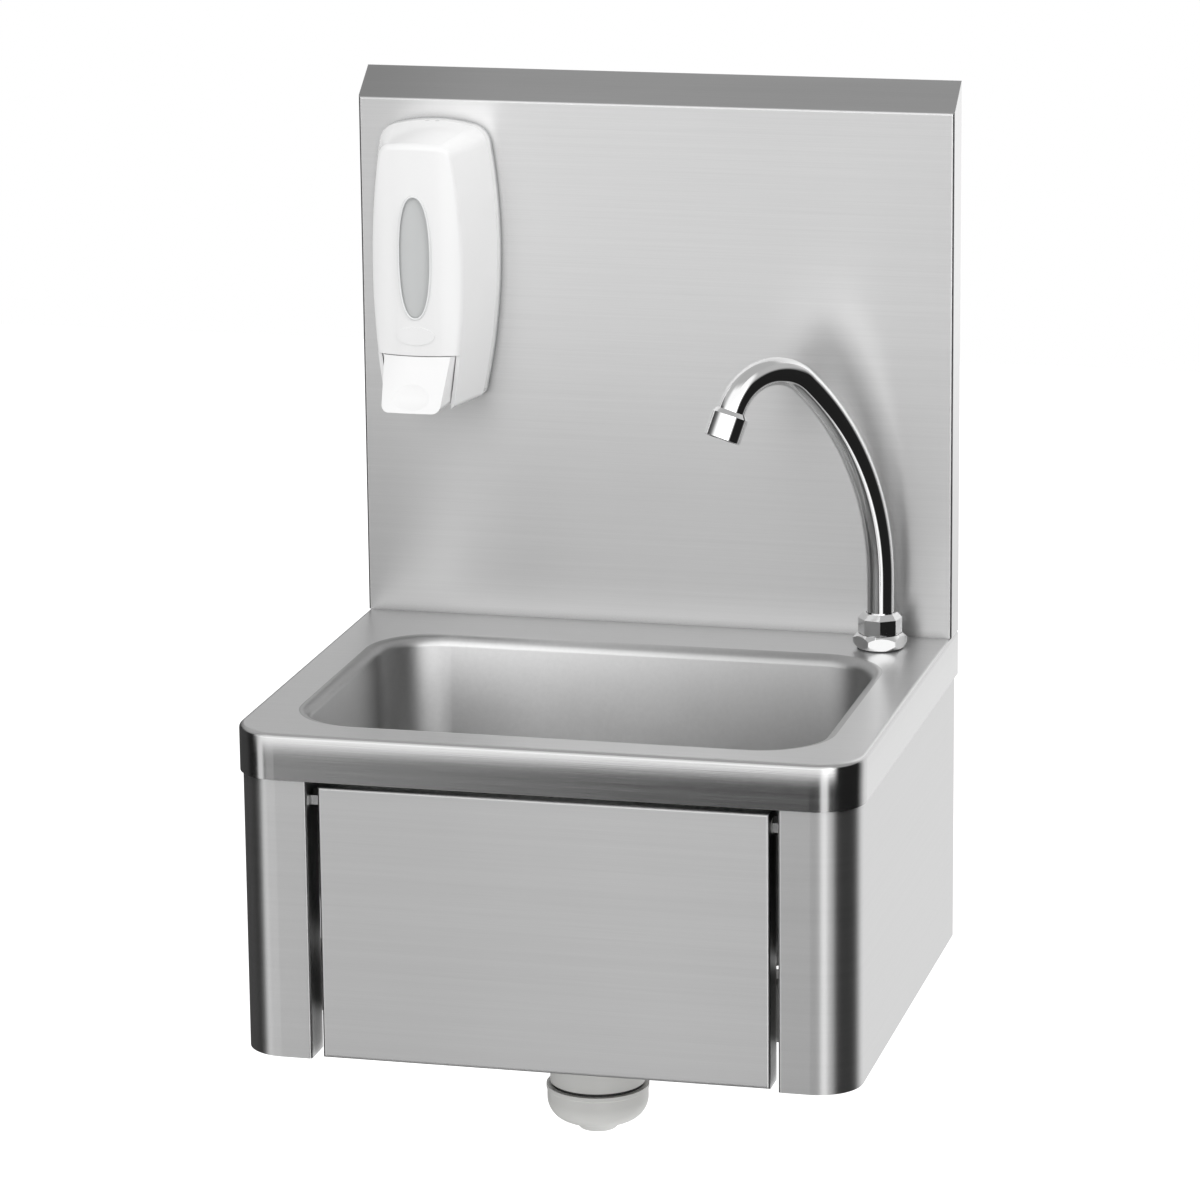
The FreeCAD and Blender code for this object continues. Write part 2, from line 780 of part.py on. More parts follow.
def valve_lock_nut():
    start = cross_rail_front - valve_nut_height
    nut = prism(6, valve_nut_size, valve_line(start), Y, valve_nut_height)
    return nut.cut(cylinder(valve_neck_radius, valve_line(start - 1.0), Y, 2 * valve_nut_height))


def plunger_tip_y():
    return panel_front + steel + pad_height + pad_gap


def plunger_collar_y():
    return valve_neck_front + plunger_rest_gap


def valve_plunger():
    """A rod with a domed tip, a collar that the cap holds back, and a guide inside the spring."""
    tip = plunger_tip_y()
    collar = plunger_collar_y()
    rod = cylinder(plunger_radius, valve_line(tip), Y, collar - tip)
    dome = Part.makeSphere(plunger_tip_radius, valve_line(tip + plunger_tip_radius))
    behind = cylinder(plunger_tip_radius, valve_line(tip + plunger_tip_radius), Y, collar - tip)
    rod = rod.common(dome.fuse(behind))
    disc = cylinder(valve_bore - collar_clearance, valve_line(collar), Y, plunger_collar)
    guide = cylinder(plunger_guide_radius, valve_line(collar), Y, plunger_collar + plunger_guide_length)
    return rod.fuse([disc, guide]).removeSplitter()


def valve_spring():
    start = plunger_collar_y() + plunger_collar
    end = valve_back - inlet_from_back - valve_water_bore - 2.0
    radius = (valve_bore + plunger_guide_radius) / 2 + 0.5
    return coil(radius, spring_wire, spring_turns, valve_line(start), Y, end - start)


# Supply pipe, held at both ends: out of the valve, under the bowl, up behind it to the tap
def pipe_points():
    start = valve_line(valve_back + stub_length)
    turn = Vector(start.x, start.y + pipe_first_run, start.z)
    return [start, turn, Vector(tap.x, tap.y, start.z), Vector(tap.x, tap.y, shank_foot)]


def supply_pipe():
    points = pipe_points()
    path = Part.Wire(route(points, [pipe_bend, pipe_bend]))
    outside = Part.Wire(Part.makeCircle(pipe_radius, points[0], Y))
    inside = Part.Wire(Part.makeCircle(pipe_radius - pipe_wall, points[0], Y))
    solid = path.makePipeShell([outside], True, False)
    pipe = solid.cut(path.makePipeShell([inside], True, False))
    expected = pi * (pipe_radius ** 2 - (pipe_radius - pipe_wall) ** 2) * path.Length
    print("supply pipe bends", pipe_bend, "length", round(path.Length, 1),
          "volume over section times length", round(pipe.Volume / expected, 4))
    return pipe


def pipe_nuts():
    """A hexagonal nut on the valve's outlet and another on the tap's shank."""
    nuts = []
    points = pipe_points()
    for end, towards in ((points[0], Y), (points[-1], -Z)):
        start = end - towards * pipe_nut_cover
        nut = prism(6, pipe_nut_size, start, towards, pipe_nut_cover + pipe_nut_neck)
        seat = cylinder(half_inch_thread, start - towards, towards, pipe_nut_cover + 1.0)
        passage = cylinder(pipe_radius, start, towards, 3 * pipe_nut_cover)
        nuts.append(nut.cut([seat, passage]))
    return Part.Compound(nuts)


# Tap
def tap_axis(height):
    return Vector(tap.x, tap.y, height)


def tap_base():
    """Hexagonal base with turned corners, a threaded neck above and a threaded shank below."""
    start = deck_top + tap_gasket_thickness
    height = base_top - start
    hexagon = prism(6, base_hex, tap_axis(start), Z, height, base_turn)
    flat = base_hex / 2
    corner = flat / cos(pi / 6)
    rise = height / 3
    turned_shape = turned([(0, 0), (flat, 0), (corner, rise), (corner, height - rise),
                           (flat - 1.0, height), (0, height)], tap_axis(start), Z)
    body = hexagon.common(turned_shape)
    neck = cylinder(neck_radius, tap_axis(base_top), Z, neck_height)
    shank = cylinder(half_inch_thread, tap_axis(shank_foot), Z, start - shank_foot)
    socket = cylinder(spout_radius + spout_fit, tap_axis(neck_top - spout_socket_depth), Z, 2 * spout_socket_depth)
    water = cylinder(valve_water_bore, tap_axis(shank_foot - 1.0), Z, 2 * shank_length)
    return body.fuse([neck, shank]).cut([socket, water]).removeSplitter()


def tap_gasket():
    return ring(tap_gasket_radius, half_inch_thread, tap_axis(deck_top), Z, tap_gasket_thickness)


def tap_washer():
    return ring(washer_radius, half_inch_thread, tap_axis(deck_under), -Z, washer_thickness)


def tap_back_nut():
    start = tap_axis(deck_under - washer_thickness)
    nut = prism(6, back_nut_size, start, -Z, back_nut_height)
    return nut.cut(cylinder(half_inch_thread, start + Z, -Z, 2 * back_nut_height))


def union_nut_foot():
    return base_top + union_nut_gap


def union_nut_top():
    return base_top + union_nut_straight + union_nut_chamfer


def union_nut():
    """Octagonal nut with a tapered top; the spout's collar turns inside it."""
    foot = union_nut_foot()
    top = union_nut_top()
    turn = base_turn - 4.0
    straight = base_top + union_nut_straight
    body = prism(8, union_nut_size, tap_axis(foot), Z, straight - foot, turn)
    wires = []
    for size, height in ((union_nut_size, straight), (2 * (spout_radius + 1.4), top)):
        wires.append(prism(8, size, tap_axis(height), Z, 1.0, turn).Faces)
    bottom = [face for face in wires[0] if abs(face.CenterOfMass.z - straight) < 1e-6][0]
    upper = [face for face in wires[1] if abs(face.CenterOfMass.z - top) < 1e-6][0]
    taper = Part.makeLoft([bottom.OuterWire, upper.OuterWire], True, True)
    thread = cylinder(neck_radius, tap_axis(foot - 1.0), Z, neck_top - foot + 1.0)
    room = cylinder(collar_radius + collar_gap, tap_axis(neck_top), Z, collar_top() + collar_gap - neck_top)
    hole = cylinder(spout_radius + union_hole_gap, tap_axis(neck_top), Z, 2 * base_height)
    return body.fuse(taper).cut([thread, room, hole]).removeSplitter()


def swivel_washer():
    return ring(collar_radius, spout_radius + union_hole_gap, tap_axis(neck_top), Z, swivel_washer_thickness)


def collar_foot():
    return neck_top + swivel_washer_thickness + union_nut_gap


def collar_top():
    return collar_foot() + collar_height


# Spout, drawn in the upright plane through the tap's axis
def spout_point(outward, height):
    heading = radians(spout_heading)
    return Vector(tap.x + outward * cos(heading), tap.y + outward * sin(heading), height)


def bend_point(centre, radius, turn):
    angle = radians(turn)
    return spout_point(centre[0] - radius * cos(angle), centre[1] + radius * sin(angle))


def spout_centres():
    """Centres of the two bends, which meet where the large one has turned far enough."""
    rise = deck_top + spout_rise
    turn = radians(large_bend_turn)
    large = (large_bend, rise)
    small = (large_bend - (large_bend - small_bend) * cos(turn), rise + (large_bend - small_bend) * sin(turn))
    return large, small


def spout_direction():
    angle = radians(spout_end_turn)
    return (spout_point(sin(angle), cos(angle)) - spout_point(0, 0)).normalize()


def spout_bend_end():
    return bend_point(spout_centres()[1], small_bend, spout_end_turn)


def spout_path():
    large, small = spout_centres()
    foot = spout_point(0, neck_top - spout_socket_depth + spout_fit)
    start = bend_point(large, large_bend, 0)
    meet = bend_point(large, large_bend, large_bend_turn)
    halfway = bend_point(large, large_bend, large_bend_turn / 2)
    top = bend_point(small, small_bend, (large_bend_turn + spout_end_turn) / 2)
    end = spout_bend_end()
    tail = end + spout_direction() * spout_tail
    edges = [line(foot, start), Part.Arc(start, halfway, meet).toShape(),
             Part.Arc(meet, top, end).toShape(), line(end, tail)]
    return Part.Wire(edges)


def spout_tube():
    """A bent tube with the collar that the union nut holds down."""
    path = spout_path()
    start = path.Vertexes[0].Point
    outer = path.makePipeShell([Part.Wire(Part.makeCircle(spout_radius, start, Z))], True, False)
    bore = path.makePipeShell([Part.Wire(Part.makeCircle(spout_radius - spout_wall, start, Z))], True, False)
    collar = cylinder(collar_radius, tap_axis(collar_foot()), Z, collar_height)
    return outer.fuse(collar).cut(bore)


def aerator_housing():
    """Tapered shoulder and straight barrel over the end of the tube."""
    seat = spout_tail
    inner = aerator_radius - aerator_wall
    profile = [(spout_radius, aerator_start), (spout_radius + 0.8, aerator_start),
               (aerator_radius, aerator_start + aerator_shoulder),
               (aerator_radius, aerator_start + aerator_length - 0.5),
               (aerator_radius - 0.5, aerator_start + aerator_length),
               (inner, aerator_start + aerator_length), (inner, seat), (spout_radius, seat)]
    return turned(profile, spout_bend_end(), spout_direction())


def aerator_insert():
    """A plug with jet holes in its face, set back a little inside the housing."""
    direction = spout_direction()
    start = spout_bend_end() + direction * spout_tail
    length = aerator_start + aerator_length - aerator_recess - spout_tail
    plug = cylinder(aerator_radius - aerator_wall, start, direction, length)
    flutes = grips(aerator_holes, aerator_hole_ring, start, direction, 2 * length, aerator_hole)
    return plug.cut(flutes).cut(cylinder(aerator_hole, start, direction, 2 * length))


# Waste and bottle trap, on the upright line through the middle of the bowl
def waste_axis(height):
    return Vector(0, bowl_y, height)


def hole_ring(count, ring_radius, radius, low, height):
    holes = []
    for i in range(count):
        angle = 2 * pi * i / count
        place = waste_axis(low) + Vector(ring_radius * cos(angle), ring_radius * sin(angle), 0)
        holes.append(cylinder(radius, place, Z, height))
    return holes


def waste_grid():
    """A pierced disc with a skirt that drops through the bowl's waste hole."""
    skirt = waste_hole - 0.5
    profile = [(0, 0), (skirt - 1.5, 0), (skirt - 1.5, -grid_skirt), (skirt, -grid_skirt), (skirt, 0),
               (grid_radius, 0), (grid_radius, grid_thickness / 2), (grid_radius - 1.0, grid_thickness),
               (0, grid_thickness)]
    disc = turned(profile, waste_axis(recess_floor), Z)
    low = recess_floor - 1.0
    holes = hole_ring(outer_holes, outer_hole_ring, outer_hole_radius, low, 6 * grid_thickness)
    holes += hole_ring(inner_holes, inner_hole_ring, inner_hole_radius, low, 6 * grid_thickness)
    holes.append(cylinder(waste_screw_radius, waste_axis(low), Z, 6 * grid_thickness))
    return disc.cut(holes)


def waste_screw():
    top = recess_floor + grid_thickness
    head = turned([(0, 0), (waste_screw_head, 0), (waste_screw_head, 0.8), (waste_screw_head - 1.2, 2.0),
                   (0, 2.0)], waste_axis(top), Z)
    shank = cylinder(waste_screw_radius, waste_axis(top), -Z, waste_screw_length)
    slot = box((-waste_screw_head, waste_screw_head), (bowl_y - 0.6, bowl_y + 0.6), (top + 1.0, top + 3.0))
    return head.fuse(shank).cut(slot)


def waste_gasket():
    return ring(waste_flange_radius, waste_hole, waste_axis(recess_floor - steel), -Z, waste_gasket_thickness)


def waste_body():
    """Flange, funnel and threaded tail, with the bridge that the screw pulls on."""
    top = waste_flange_top
    profile = [(waste_hole, top), (waste_flange_radius, top), (waste_flange_radius, waste_cone_top),
               (waste_hole + plastic_wall, waste_cone_top), (tail_radius, waste_cone_foot),
               (tail_radius, tail_foot), (tail_radius - plastic_wall, tail_foot),
               (tail_radius - plastic_wall, waste_cone_foot), (waste_hole, waste_cone_top)]
    funnel = turned(profile, waste_axis(0), Z)
    screw_foot = recess_floor + grid_thickness - waste_screw_length
    low = screw_foot + 2.0
    bar = box((-waste_hole, waste_hole), (bowl_y - bridge_width / 2, bowl_y + bridge_width / 2),
              (low, low + bridge_height))
    inside = turned([(0, top), (waste_hole + 1.0, top), (waste_hole + 1.0, waste_cone_top),
                     (tail_radius - 1.0, waste_cone_foot), (0, waste_cone_foot)], waste_axis(0), Z)
    bar = bar.common(inside)
    boss = cylinder(bridge_width, waste_axis(low), Z, bridge_height)
    hole = cylinder(waste_screw_radius, waste_axis(low - 1.0), Z, 2 * bridge_height)
    return funnel.fuse([bar, boss]).cut(hole).removeSplitter()


def trap_top_nut():
    top = tail_foot + trap_nut_height - plastic_wall
    start = top - trap_nut_height
    nut = cylinder(trap_nut_radius, waste_axis(start), Z, trap_nut_height)
    thread = cylinder(trap_collar_radius, waste_axis(start - 1.0), Z, trap_nut_height - plastic_wall + 1.0)
    hole = cylinder(tail_radius, waste_axis(start), Z, 2 * trap_nut_height)
    flutes = grips(grip_count, trap_nut_radius + grip_radius / 2, waste_axis(start), Z, trap_nut_height, grip_radius)
    return nut.cut([thread, hole, flutes])


def trap_body():
    """Collar, shoulder, barrel, threaded spigot and the branch towards the wall."""
    collar_top_height = tail_foot + plastic_wall
    neck = trap_shoulder + 2 * plastic_wall - trap_fit
    inside = trap_spigot_radius - plastic_wall
    ledge = tail_foot - dip_flange
    profile = [(dip_radius + trap_fit, ledge), (tail_radius + trap_fit, ledge),
               (tail_radius + trap_fit, collar_top_height), (trap_collar_radius, collar_top_height),
               (trap_collar_radius, trap_shoulder + plastic_wall), (trap_radius, trap_shoulder - plastic_wall),
               (trap_radius, trap_foot), (trap_spigot_radius, trap_foot),
               (trap_spigot_radius, trap_foot - trap_spigot_length), (inside, trap_foot - trap_spigot_length),
               (inside, trap_shoulder - plastic_wall), (dip_radius + trap_fit, trap_shoulder - plastic_wall)]
    barrel = turned(profile, waste_axis(0), Z)
    axis = Vector(0, bowl_y, outlet_z)
    branch = cylinder(tail_radius, axis, Y, trap_radius + branch_length)
    branch = branch.cut(cylinder(inside + 1.0, waste_axis(trap_foot), Z, 2 * trap_height))
    bore = cylinder(outlet_radius - outlet_step + trap_fit, axis + Y * (inside - 2 * overrun), Y, 2 * trap_radius)
    return barrel.fuse(branch).cut(bore).removeSplitter()


def dip_tube():
    top = tail_foot
    flange = ring(tail_radius, dip_radius - dip_wall, waste_axis(top), -Z, dip_flange)
    tube = ring(dip_radius, dip_radius - dip_wall, waste_axis(top), -Z, dip_length)
    return flange.fuse(tube).removeSplitter()


def trap_seal():
    return ring(trap_radius - 0.8, trap_spigot_radius, waste_axis(trap_foot), -Z, seal_thickness)


def trap_cup():
    """The cup that unscrews for cleaning: banded rim, rounded side, cone and a small flat foot."""
    low = cup_top - cup_height
    plain = cup_radius - cup_band_step
    side_foot = cup_top - cup_straight
    crease = plain - cup_bend
    across = cup_bend * cos(pi / 4)
    bend = Part.Arc(Vector(plain, bowl_y, side_foot),
                    Vector(crease + across, bowl_y, side_foot - across),
                    Vector(crease, bowl_y, side_foot - cup_bend))
    inside = trap_spigot_radius + trap_fit
    well = trap_spigot_radius - plastic_wall
    well_top = trap_foot - trap_spigot_length - overrun
    points = [Vector(crease, bowl_y, side_foot - cup_bend), Vector(cup_foot_radius, bowl_y, low),
              Vector(0, bowl_y, low), Vector(0, bowl_y, low + plastic_wall),
              Vector(crease, bowl_y, side_foot - cup_bend + plastic_wall),
              Vector(well, bowl_y, well_top), Vector(inside, bowl_y, well_top),
              Vector(inside, bowl_y, cup_top), Vector(cup_radius, bowl_y, cup_top),
              Vector(cup_radius, bowl_y, cup_top - cup_band),
              Vector(plain, bowl_y, cup_top - cup_band - cup_band_step), Vector(plain, bowl_y, side_foot)]
    edges = [line(a, b) for a, b in zip(points, points[1:])] + [bend.toShape()]
    return Part.Face(Part.Wire(Part.__sortEdges__(edges))).revolve(Vector(0, bowl_y, 0), Z, 360)


def outlet_nut():
    end = bowl_y + trap_radius + branch_length
    start = Vector(0, end + plastic_wall - trap_nut_height, outlet_z)
    nut = cylinder(trap_nut_radius, start, Y, trap_nut_height)
    thread = cylinder(tail_radius, start - Y, Y, trap_nut_height - plastic_wall + 1.0)
    hole = cylinder(outlet_radius - outlet_step, start, Y, 2 * trap_nut_height)
    flutes = grips(grip_count, trap_nut_radius + grip_radius / 2, start, Y, trap_nut_height, grip_radius)
    return nut.cut([thread, hole, flutes])


def outlet_pipe():
    """The waste pipe to the wall, turned down a little where the trap and its nut hold it."""
    branch_end = bowl_y + trap_radius + branch_length
    start = Vector(0, branch_end - outlet_insert, outlet_z)
    step = Vector(0, branch_end + plastic_wall + outlet_step_reach, outlet_z)
    insert = cylinder(outlet_radius - outlet_step, start, Y, step.y - start.y)
    pipe = insert.fuse(cylinder(outlet_radius, step, Y, -step.y))
    return pipe.cut(cylinder(outlet_radius - outlet_wall, start - Y, Y, overrun - start.y + overrun))


# Soap dispenser
def arc(centre, start, end):
    """The arc from one point to another about a centre, the short way round."""
    middle = (start - centre).normalize() + (end - centre).normalize()
    return Part.Arc(start, centre + middle.normalize() * (start - centre).Length, end).toShape()


def upper_meeting(first, first_reach, second, second_reach):
    """The higher of the two points that lie at given distances from two points."""
    span = second - first
    along = (span.Length ** 2 + first_reach ** 2 - second_reach ** 2) / (2 * span.Length)
    off = (first_reach ** 2 - along ** 2) ** 0.5
    direction = span.normalize()
    return first + direction * along + direction.cross(Y) * copysign(off, direction.cross(Y).z)


def soap_outline(half, height, widest, side_radius, corner, inset, y):
    """Bowed sides and crown, a flat foot and rounded corners, with an even inset all round."""
    side_centre = Vector(soap_x + half - side_radius, y, soap_low + widest)
    crown_centre = Vector(soap_x, y, soap_low + height - soap_crown_radius)
    side = side_radius - inset
    crown = soap_crown_radius - inset
    top = max(corner - inset, soap_low_corner)
    low = max(soap_low_corner - inset, soap_low_corner / 4)
    foot = soap_low + inset
    top_centre = upper_meeting(side_centre, side - top, crown_centre, crown - top)
    rise = foot + low - side_centre.z
    low_centre = side_centre + X * ((side - low) ** 2 - rise ** 2) ** 0.5 + Z * rise
    crown_end = crown_centre + (top_centre - crown_centre).normalize() * crown
    side_top = side_centre + (top_centre - side_centre).normalize() * side
    side_end = side_centre + (low_centre - side_centre).normalize() * side
    foot_end = low_centre - Z * low
    right = [arc(low_centre, foot_end, side_end), arc(side_centre, side_end, side_top),
             arc(top_centre, side_top, crown_end)]
    left = [edge.mirror(Vector(soap_x, 0, 0), X) for edge in right]
    foot_line = line(mirrored(foot_end), foot_end)
    crown_arc = arc(crown_centre, crown_end, mirrored(crown_end))
    return Part.Wire(Part.__sortEdges__([foot_line] + right + [crown_arc] + left))


def mirrored(point):
    return Vector(2 * soap_x - point.x, point.y, point.z)


def back_outline(inset, y):
    return soap_outline(soap_half_width, soap_height, soap_widest, soap_side_radius, soap_corner, inset, y)


def front_outline(inset, y):
    return soap_outline(soap_front_half_width, soap_front_height, soap_front_widest,
                        soap_front_side_radius, soap_front_corner, inset, y)


def soap_dome(inset):
    """The upright round that shapes the front."""
    axis = Vector(soap_x, soap_face + soap_dome_radius, soap_low - soap_height)
    return cylinder(soap_dome_radius - inset, axis, Z, 3 * soap_height)


def soap_form(inset, back):
    """The moulded outside, or a form that lies an even distance inside it."""
    flange = Part.Face(back_outline(inset, back)).extrude(Y * (soap_flange_front - back))
    ends = [back_outline(inset, soap_flange_front), front_outline(inset, soap_taper_end)]
    return flange.fuse(Part.makeLoft(ends, True, True)).common(soap_dome(inset))


def soap_side(y, z):
    """Half the form's width at some depth and height."""
    halves = []
    for half, widest, radius in ((soap_half_width, soap_widest, soap_side_radius),
                                 (soap_front_half_width, soap_front_widest, soap_front_side_radius)):
        rise = z - soap_low - widest
        halves.append(half - radius + (radius ** 2 - rise ** 2) ** 0.5)
    share = max(0, (soap_flange_front - y) / soap_taper)
    return halves[0] + (halves[1] - halves[0]) * share


def soap_shell_back():
    return soap_back - soap_plate_gap


def everywhere_x():
    return (soap_x - 2 * soap_half_width, soap_x + 2 * soap_half_width)


def middle_x(half):
    return (soap_x - half, soap_x + half)


def hinge_axis(offset):
    return Vector(soap_x + offset, splash_face - hinge_from_splash, soap_low + hinge_above_foot)


def lever_axis(offset):
    return Vector(soap_x + offset, lever_back + lever_ear_depth / 2, lever_top - lever_ear_height / 2)


def key_slots():
    slots = []
    y = splash_face - key_slot_from_splash
    middle = soap_low + soap_widest
    for side in (-1, 1):
        x = soap_x + side * key_slot_spacing / 2
        slots.append(box((x - key_slot_width / 2, x + key_slot_width / 2),
                         (y - key_slot_height / 2, y + key_slot_height / 2), (middle, middle + soap_height)))
    return slots


def rounded_skin():
    """The outside with its front edges rounded."""
    form = soap_form(0, soap_shell_back())
    axis = Vector(soap_x, soap_face + soap_dome_radius, 0)
    rim = []
    for edge in form.Edges:
        ends = [vertex.Point for vertex in edge.Vertexes]
        reaches = [hypot(end.x - axis.x, end.y - axis.y) for end in ends]
        if all(abs(reach - soap_dome_radius) < 1e-4 for reach in reaches):
            rim.append(edge)
    return form.makeFillet(soap_edge, rim)


def cover_cuts():
    """Room for the lever, its foot, the pump's nozzle and the turn about the hinge."""
    axis = hinge_axis(0)
    below = soap_low - overrun
    floor = (below, soap_low + soap_wall + overrun)
    front = box(everywhere_x(), (soap_face - overrun, lever_edge_y), (below, soap_seam))
    foot_half = lever_side_half(lever_foot) + lever_foot_gap
    foot_room = box(middle_x(foot_half), (soap_face, lever_back + lever_swing_room), floor)
    throat = box(middle_x(hinge_ear_outer), (lever_back, soap_back), floor)
    heel = box(everywhere_x(), (axis.y, soap_back), (below, axis.z))
    heel = heel.cut(cylinder(soap_shell_back() - axis.y, axis - X * 2 * soap_half_width, X, 4 * soap_half_width))
    return [front, foot_room, throat, heel]


def cover_lugs():
    lugs = []
    for side in (-1, 1):
        inner = hinge_ear_outer + hinge_lug_gap
        start = hinge_axis(side * inner)
        lug = cylinder(hinge_lug_radius, start, X * side, hinge_lug_length)
        ends = sorted((start.x, start.x + side * hinge_lug_length))
        web = box(ends, (start.y - 2.5 * hinge_lug_radius, start.y),
                  (start.z - hinge_lug_radius, start.z + hinge_lug_radius))
        lugs.append(lug.fuse(web))
    return lugs


def dispenser_cover():
    """The moulded front: a hollow barrel form with a window, a lever gap and hinge lugs."""
    outer = rounded_skin()
    inner = soap_form(soap_wall, soap_shell_back() + overrun)
    window = oval_plate(window_half_width, window_half_height, window_squareness, soap_x,
                        soap_seam + window_above_seam, soap_face - overrun, 2 * soap_wall + overrun)
    badge = oval_plate(badge_half_width, badge_half_height, 2.0, soap_x, soap_seam + badge_above_seam,
                       soap_face - badge_raise, 2 * soap_wall)
    badge = badge.common(soap_dome(-badge_raise))
    shell = outer.fuse(badge).cut([inner, window] + cover_cuts() + key_slots())
    lugs = [lug.common(soap_form(0, soap_shell_back())) for lug in cover_lugs()]
    reach = 2 * hinge_ear_outer
    pins = [cylinder(hinge_pin_radius + hinge_pin_clearance, hinge_axis(-reach), X, 2 * reach)]
    pins += [lever_pin(side) for side in (-1, 1)]
    return shell.fuse(lugs).cut(pins)


def lever_pin(side):
    """A pin from inside the lever's ear into the cover's wall."""
    start = lever_axis(side * lever_pin_inset)
    end = soap_side(start.y, start.z) - lever_pin_cover
    return cylinder(lever_pin_radius, start, X * side, end - lever_pin_inset)


def lever_pins():
    return Part.Compound([lever_pin(side) for side in (-1, 1)])


def dispenser_window():
    """A pane bowed like the front, with a lip that bears on the inside of the cover."""
    z = soap_seam + window_above_seam
    front = soap_face - overrun
    pane = oval_plate(window_half_width, window_half_height, window_squareness, soap_x, z, front, 3 * soap_wall)
    pane = pane.common(soap_dome(window_recess)).cut(soap_dome(soap_wall))
    lip = oval_plate(window_half_width + window_lip, window_half_height + window_lip, window_squareness,
                     soap_x, z, front, 3 * soap_wall)
    lip = lip.common(soap_dome(soap_wall)).cut(soap_dome(soap_wall + window_lip_thickness))
    return pane.fuse(lip)


def lever_side_half(z):
    """Half the lever's width where it passes between the cover's walls."""
    return soap_side(lever_edge_y, z) - soap_wall - lever_side_gap


def lever_face(z):
    """The middle of the lever's face, which leans out towards its foot."""
    return soap_face - lever_reach * (lever_top - z) / (lever_top - lever_foot)


def lever_section(z, half, bow, inset, back):
    """A level section: bowed face, two facets and straight sides."""
    face = lever_face(z) + inset
    side = lever_side_half(z) - inset
    corner = Vector(soap_x + half - inset, face + bow, z)
    edge = Vector(soap_x + side, lever_edge_y + inset, z)
    rear = Vector(soap_x + side, back, z)
    bowed = Part.Arc(mirrored(corner), Vector(soap_x, face, z), corner).toShape()
    right = [line(corner, edge), line(edge, rear)]
    left = [piece.mirror(Vector(soap_x, 0, 0), X) for piece in right]
    return Part.Wire(Part.__sortEdges__([bowed] + right + [line(rear, mirrored(rear))] + left))


def lever_block(inset, low, high, back):
    """The lever's outside, or the room inside its walls."""
    sections = []
    seam_bow = soap_dome_radius - (soap_dome_radius ** 2 - lever_half_width ** 2) ** 0.5
    for z in (low, high):
        share = (lever_top - z) / (lever_top - lever_foot)
        half = lever_half_width + (lever_foot_half_width - lever_half_width) * share
        bow = seam_bow + (lever_foot_bow - seam_bow) * share
        sections.append(lever_section(z, half, bow, inset, back))
    return Part.makeLoft(sections, True, True)


def rounded_lever():
    """Two round corners at the foot, then one small round along the whole edge of the face."""
    block = lever_block(0, lever_foot, lever_top, lever_back)
    corners = []
    for edge in block.Edges:
        ends = [vertex.Point for vertex in edge.Vertexes]
        low = all(abs(end.z - lever_foot) < 1e-4 for end in ends)
        if low and max(end.y for end in ends) < lever_edge_y + 1e-4 and abs(ends[0].y - ends[1].y) > steel:
            corners.append(edge)
    return block.makeFillet(lever_foot_corner, corners)


def dispenser_lever():
    """The push lever: a hollow wedge that stands out towards its foot, with a thumb hollow."""
    block = rounded_lever()
    room = lever_block(lever_wall, lever_foot + lever_wall, lever_top - lever_wall, lever_back + overrun)
    open_y = soap_face + 2 * lever_wall
    open_top = box(middle_x(lever_open_half), (open_y, lever_back + overrun), (lever_foot + lever_height / 2,
                                                                           lever_top + overrun))
    ears = []
    for side in (-1, 1):
        outer = lever_side_half(lever_top)
        ends = sorted((soap_x + side * outer, soap_x + side * (outer - lever_ear_length)))
        ears.append(box(ends, (lever_back - lever_wall, lever_back + lever_ear_depth),
                        (lever_top - lever_ear_height, lever_top)))
    reach = lever_side_half(lever_top) + overrun
    pin_hole = cylinder(lever_pin_radius + lever_pin_clearance, lever_axis(-reach), X, 2 * reach)
    shell = block.cut([room, open_top]).fuse(ears + [press_rib()])
    return shell.cut([thumb_hollow(), pin_hole]).removeSplitter()


def press_rib():
    """A rib inside the lever whose upright back bears on the pump's plunger."""
    high = pump_z + lever_rib_rise
    wedge = lever_block(lever_wall / 2, lever_foot + lever_wall / 2, high, lever_back)
    return wedge.common(box(middle_x(lever_rib_half), (lever_face(lever_foot), soap_face + lever_wall),
                            (lever_foot, high)))


def thumb_hollow():
    """A flat ellipsoid let into the leaning face."""
    share = 0.66
    bulge = thumb_depth / (1 - (1 - share ** 2) ** 0.5)
    scale = FreeCAD.Matrix()
    scale.scale(thumb_half_width / share, bulge, thumb_half_height / share)
    hollow = Part.makeSphere(1.0).transformGeometry(scale)
    lean = atan2(lever_reach, lever_top - lever_foot)
    hollow.translate(Y * (thumb_depth - bulge))
    hollow.rotate(Vector(0, 0, 0), X, -lean * 180 / pi)
    z = lever_foot + thumb_above_foot
    hollow.translate(Vector(soap_x, lever_face(z), z))
    return hollow


def dispenser_back_plate():
    """The plate screwed to the splashback, with the reservoir's ledge and the hinge ears."""
    plate = Part.Face(back_outline(0, splash_face)).extrude(-Y * soap_plate)
    ledge = box(middle_x(ledge_half_width), (soap_back - ledge_depth, soap_back),
                (reservoir_low - ledge_thickness, reservoir_low))
    axis = hinge_axis(0)
    ears = []
    for side in (-1, 1):
        ends = sorted((soap_x + side * hinge_ear_inner, soap_x + side * hinge_ear_outer))
        ears.append(box(ends, (axis.y - hinge_lug_radius, soap_back),
                        (axis.z - 0.7 * hinge_lug_radius, axis.z + 2 * hinge_lug_radius)))
    holes = [cylinder(pump_neck_radius, pump_axis(reservoir_low - 2 * ledge_thickness), Z, 4 * ledge_thickness)]
    reach = hinge_ear_outer + overrun
    holes.append(cylinder(hinge_pin_radius, hinge_axis(-reach), X, 2 * reach))
    return plate.fuse([ledge] + ears).cut(holes + screw_shapes()).removeSplitter()


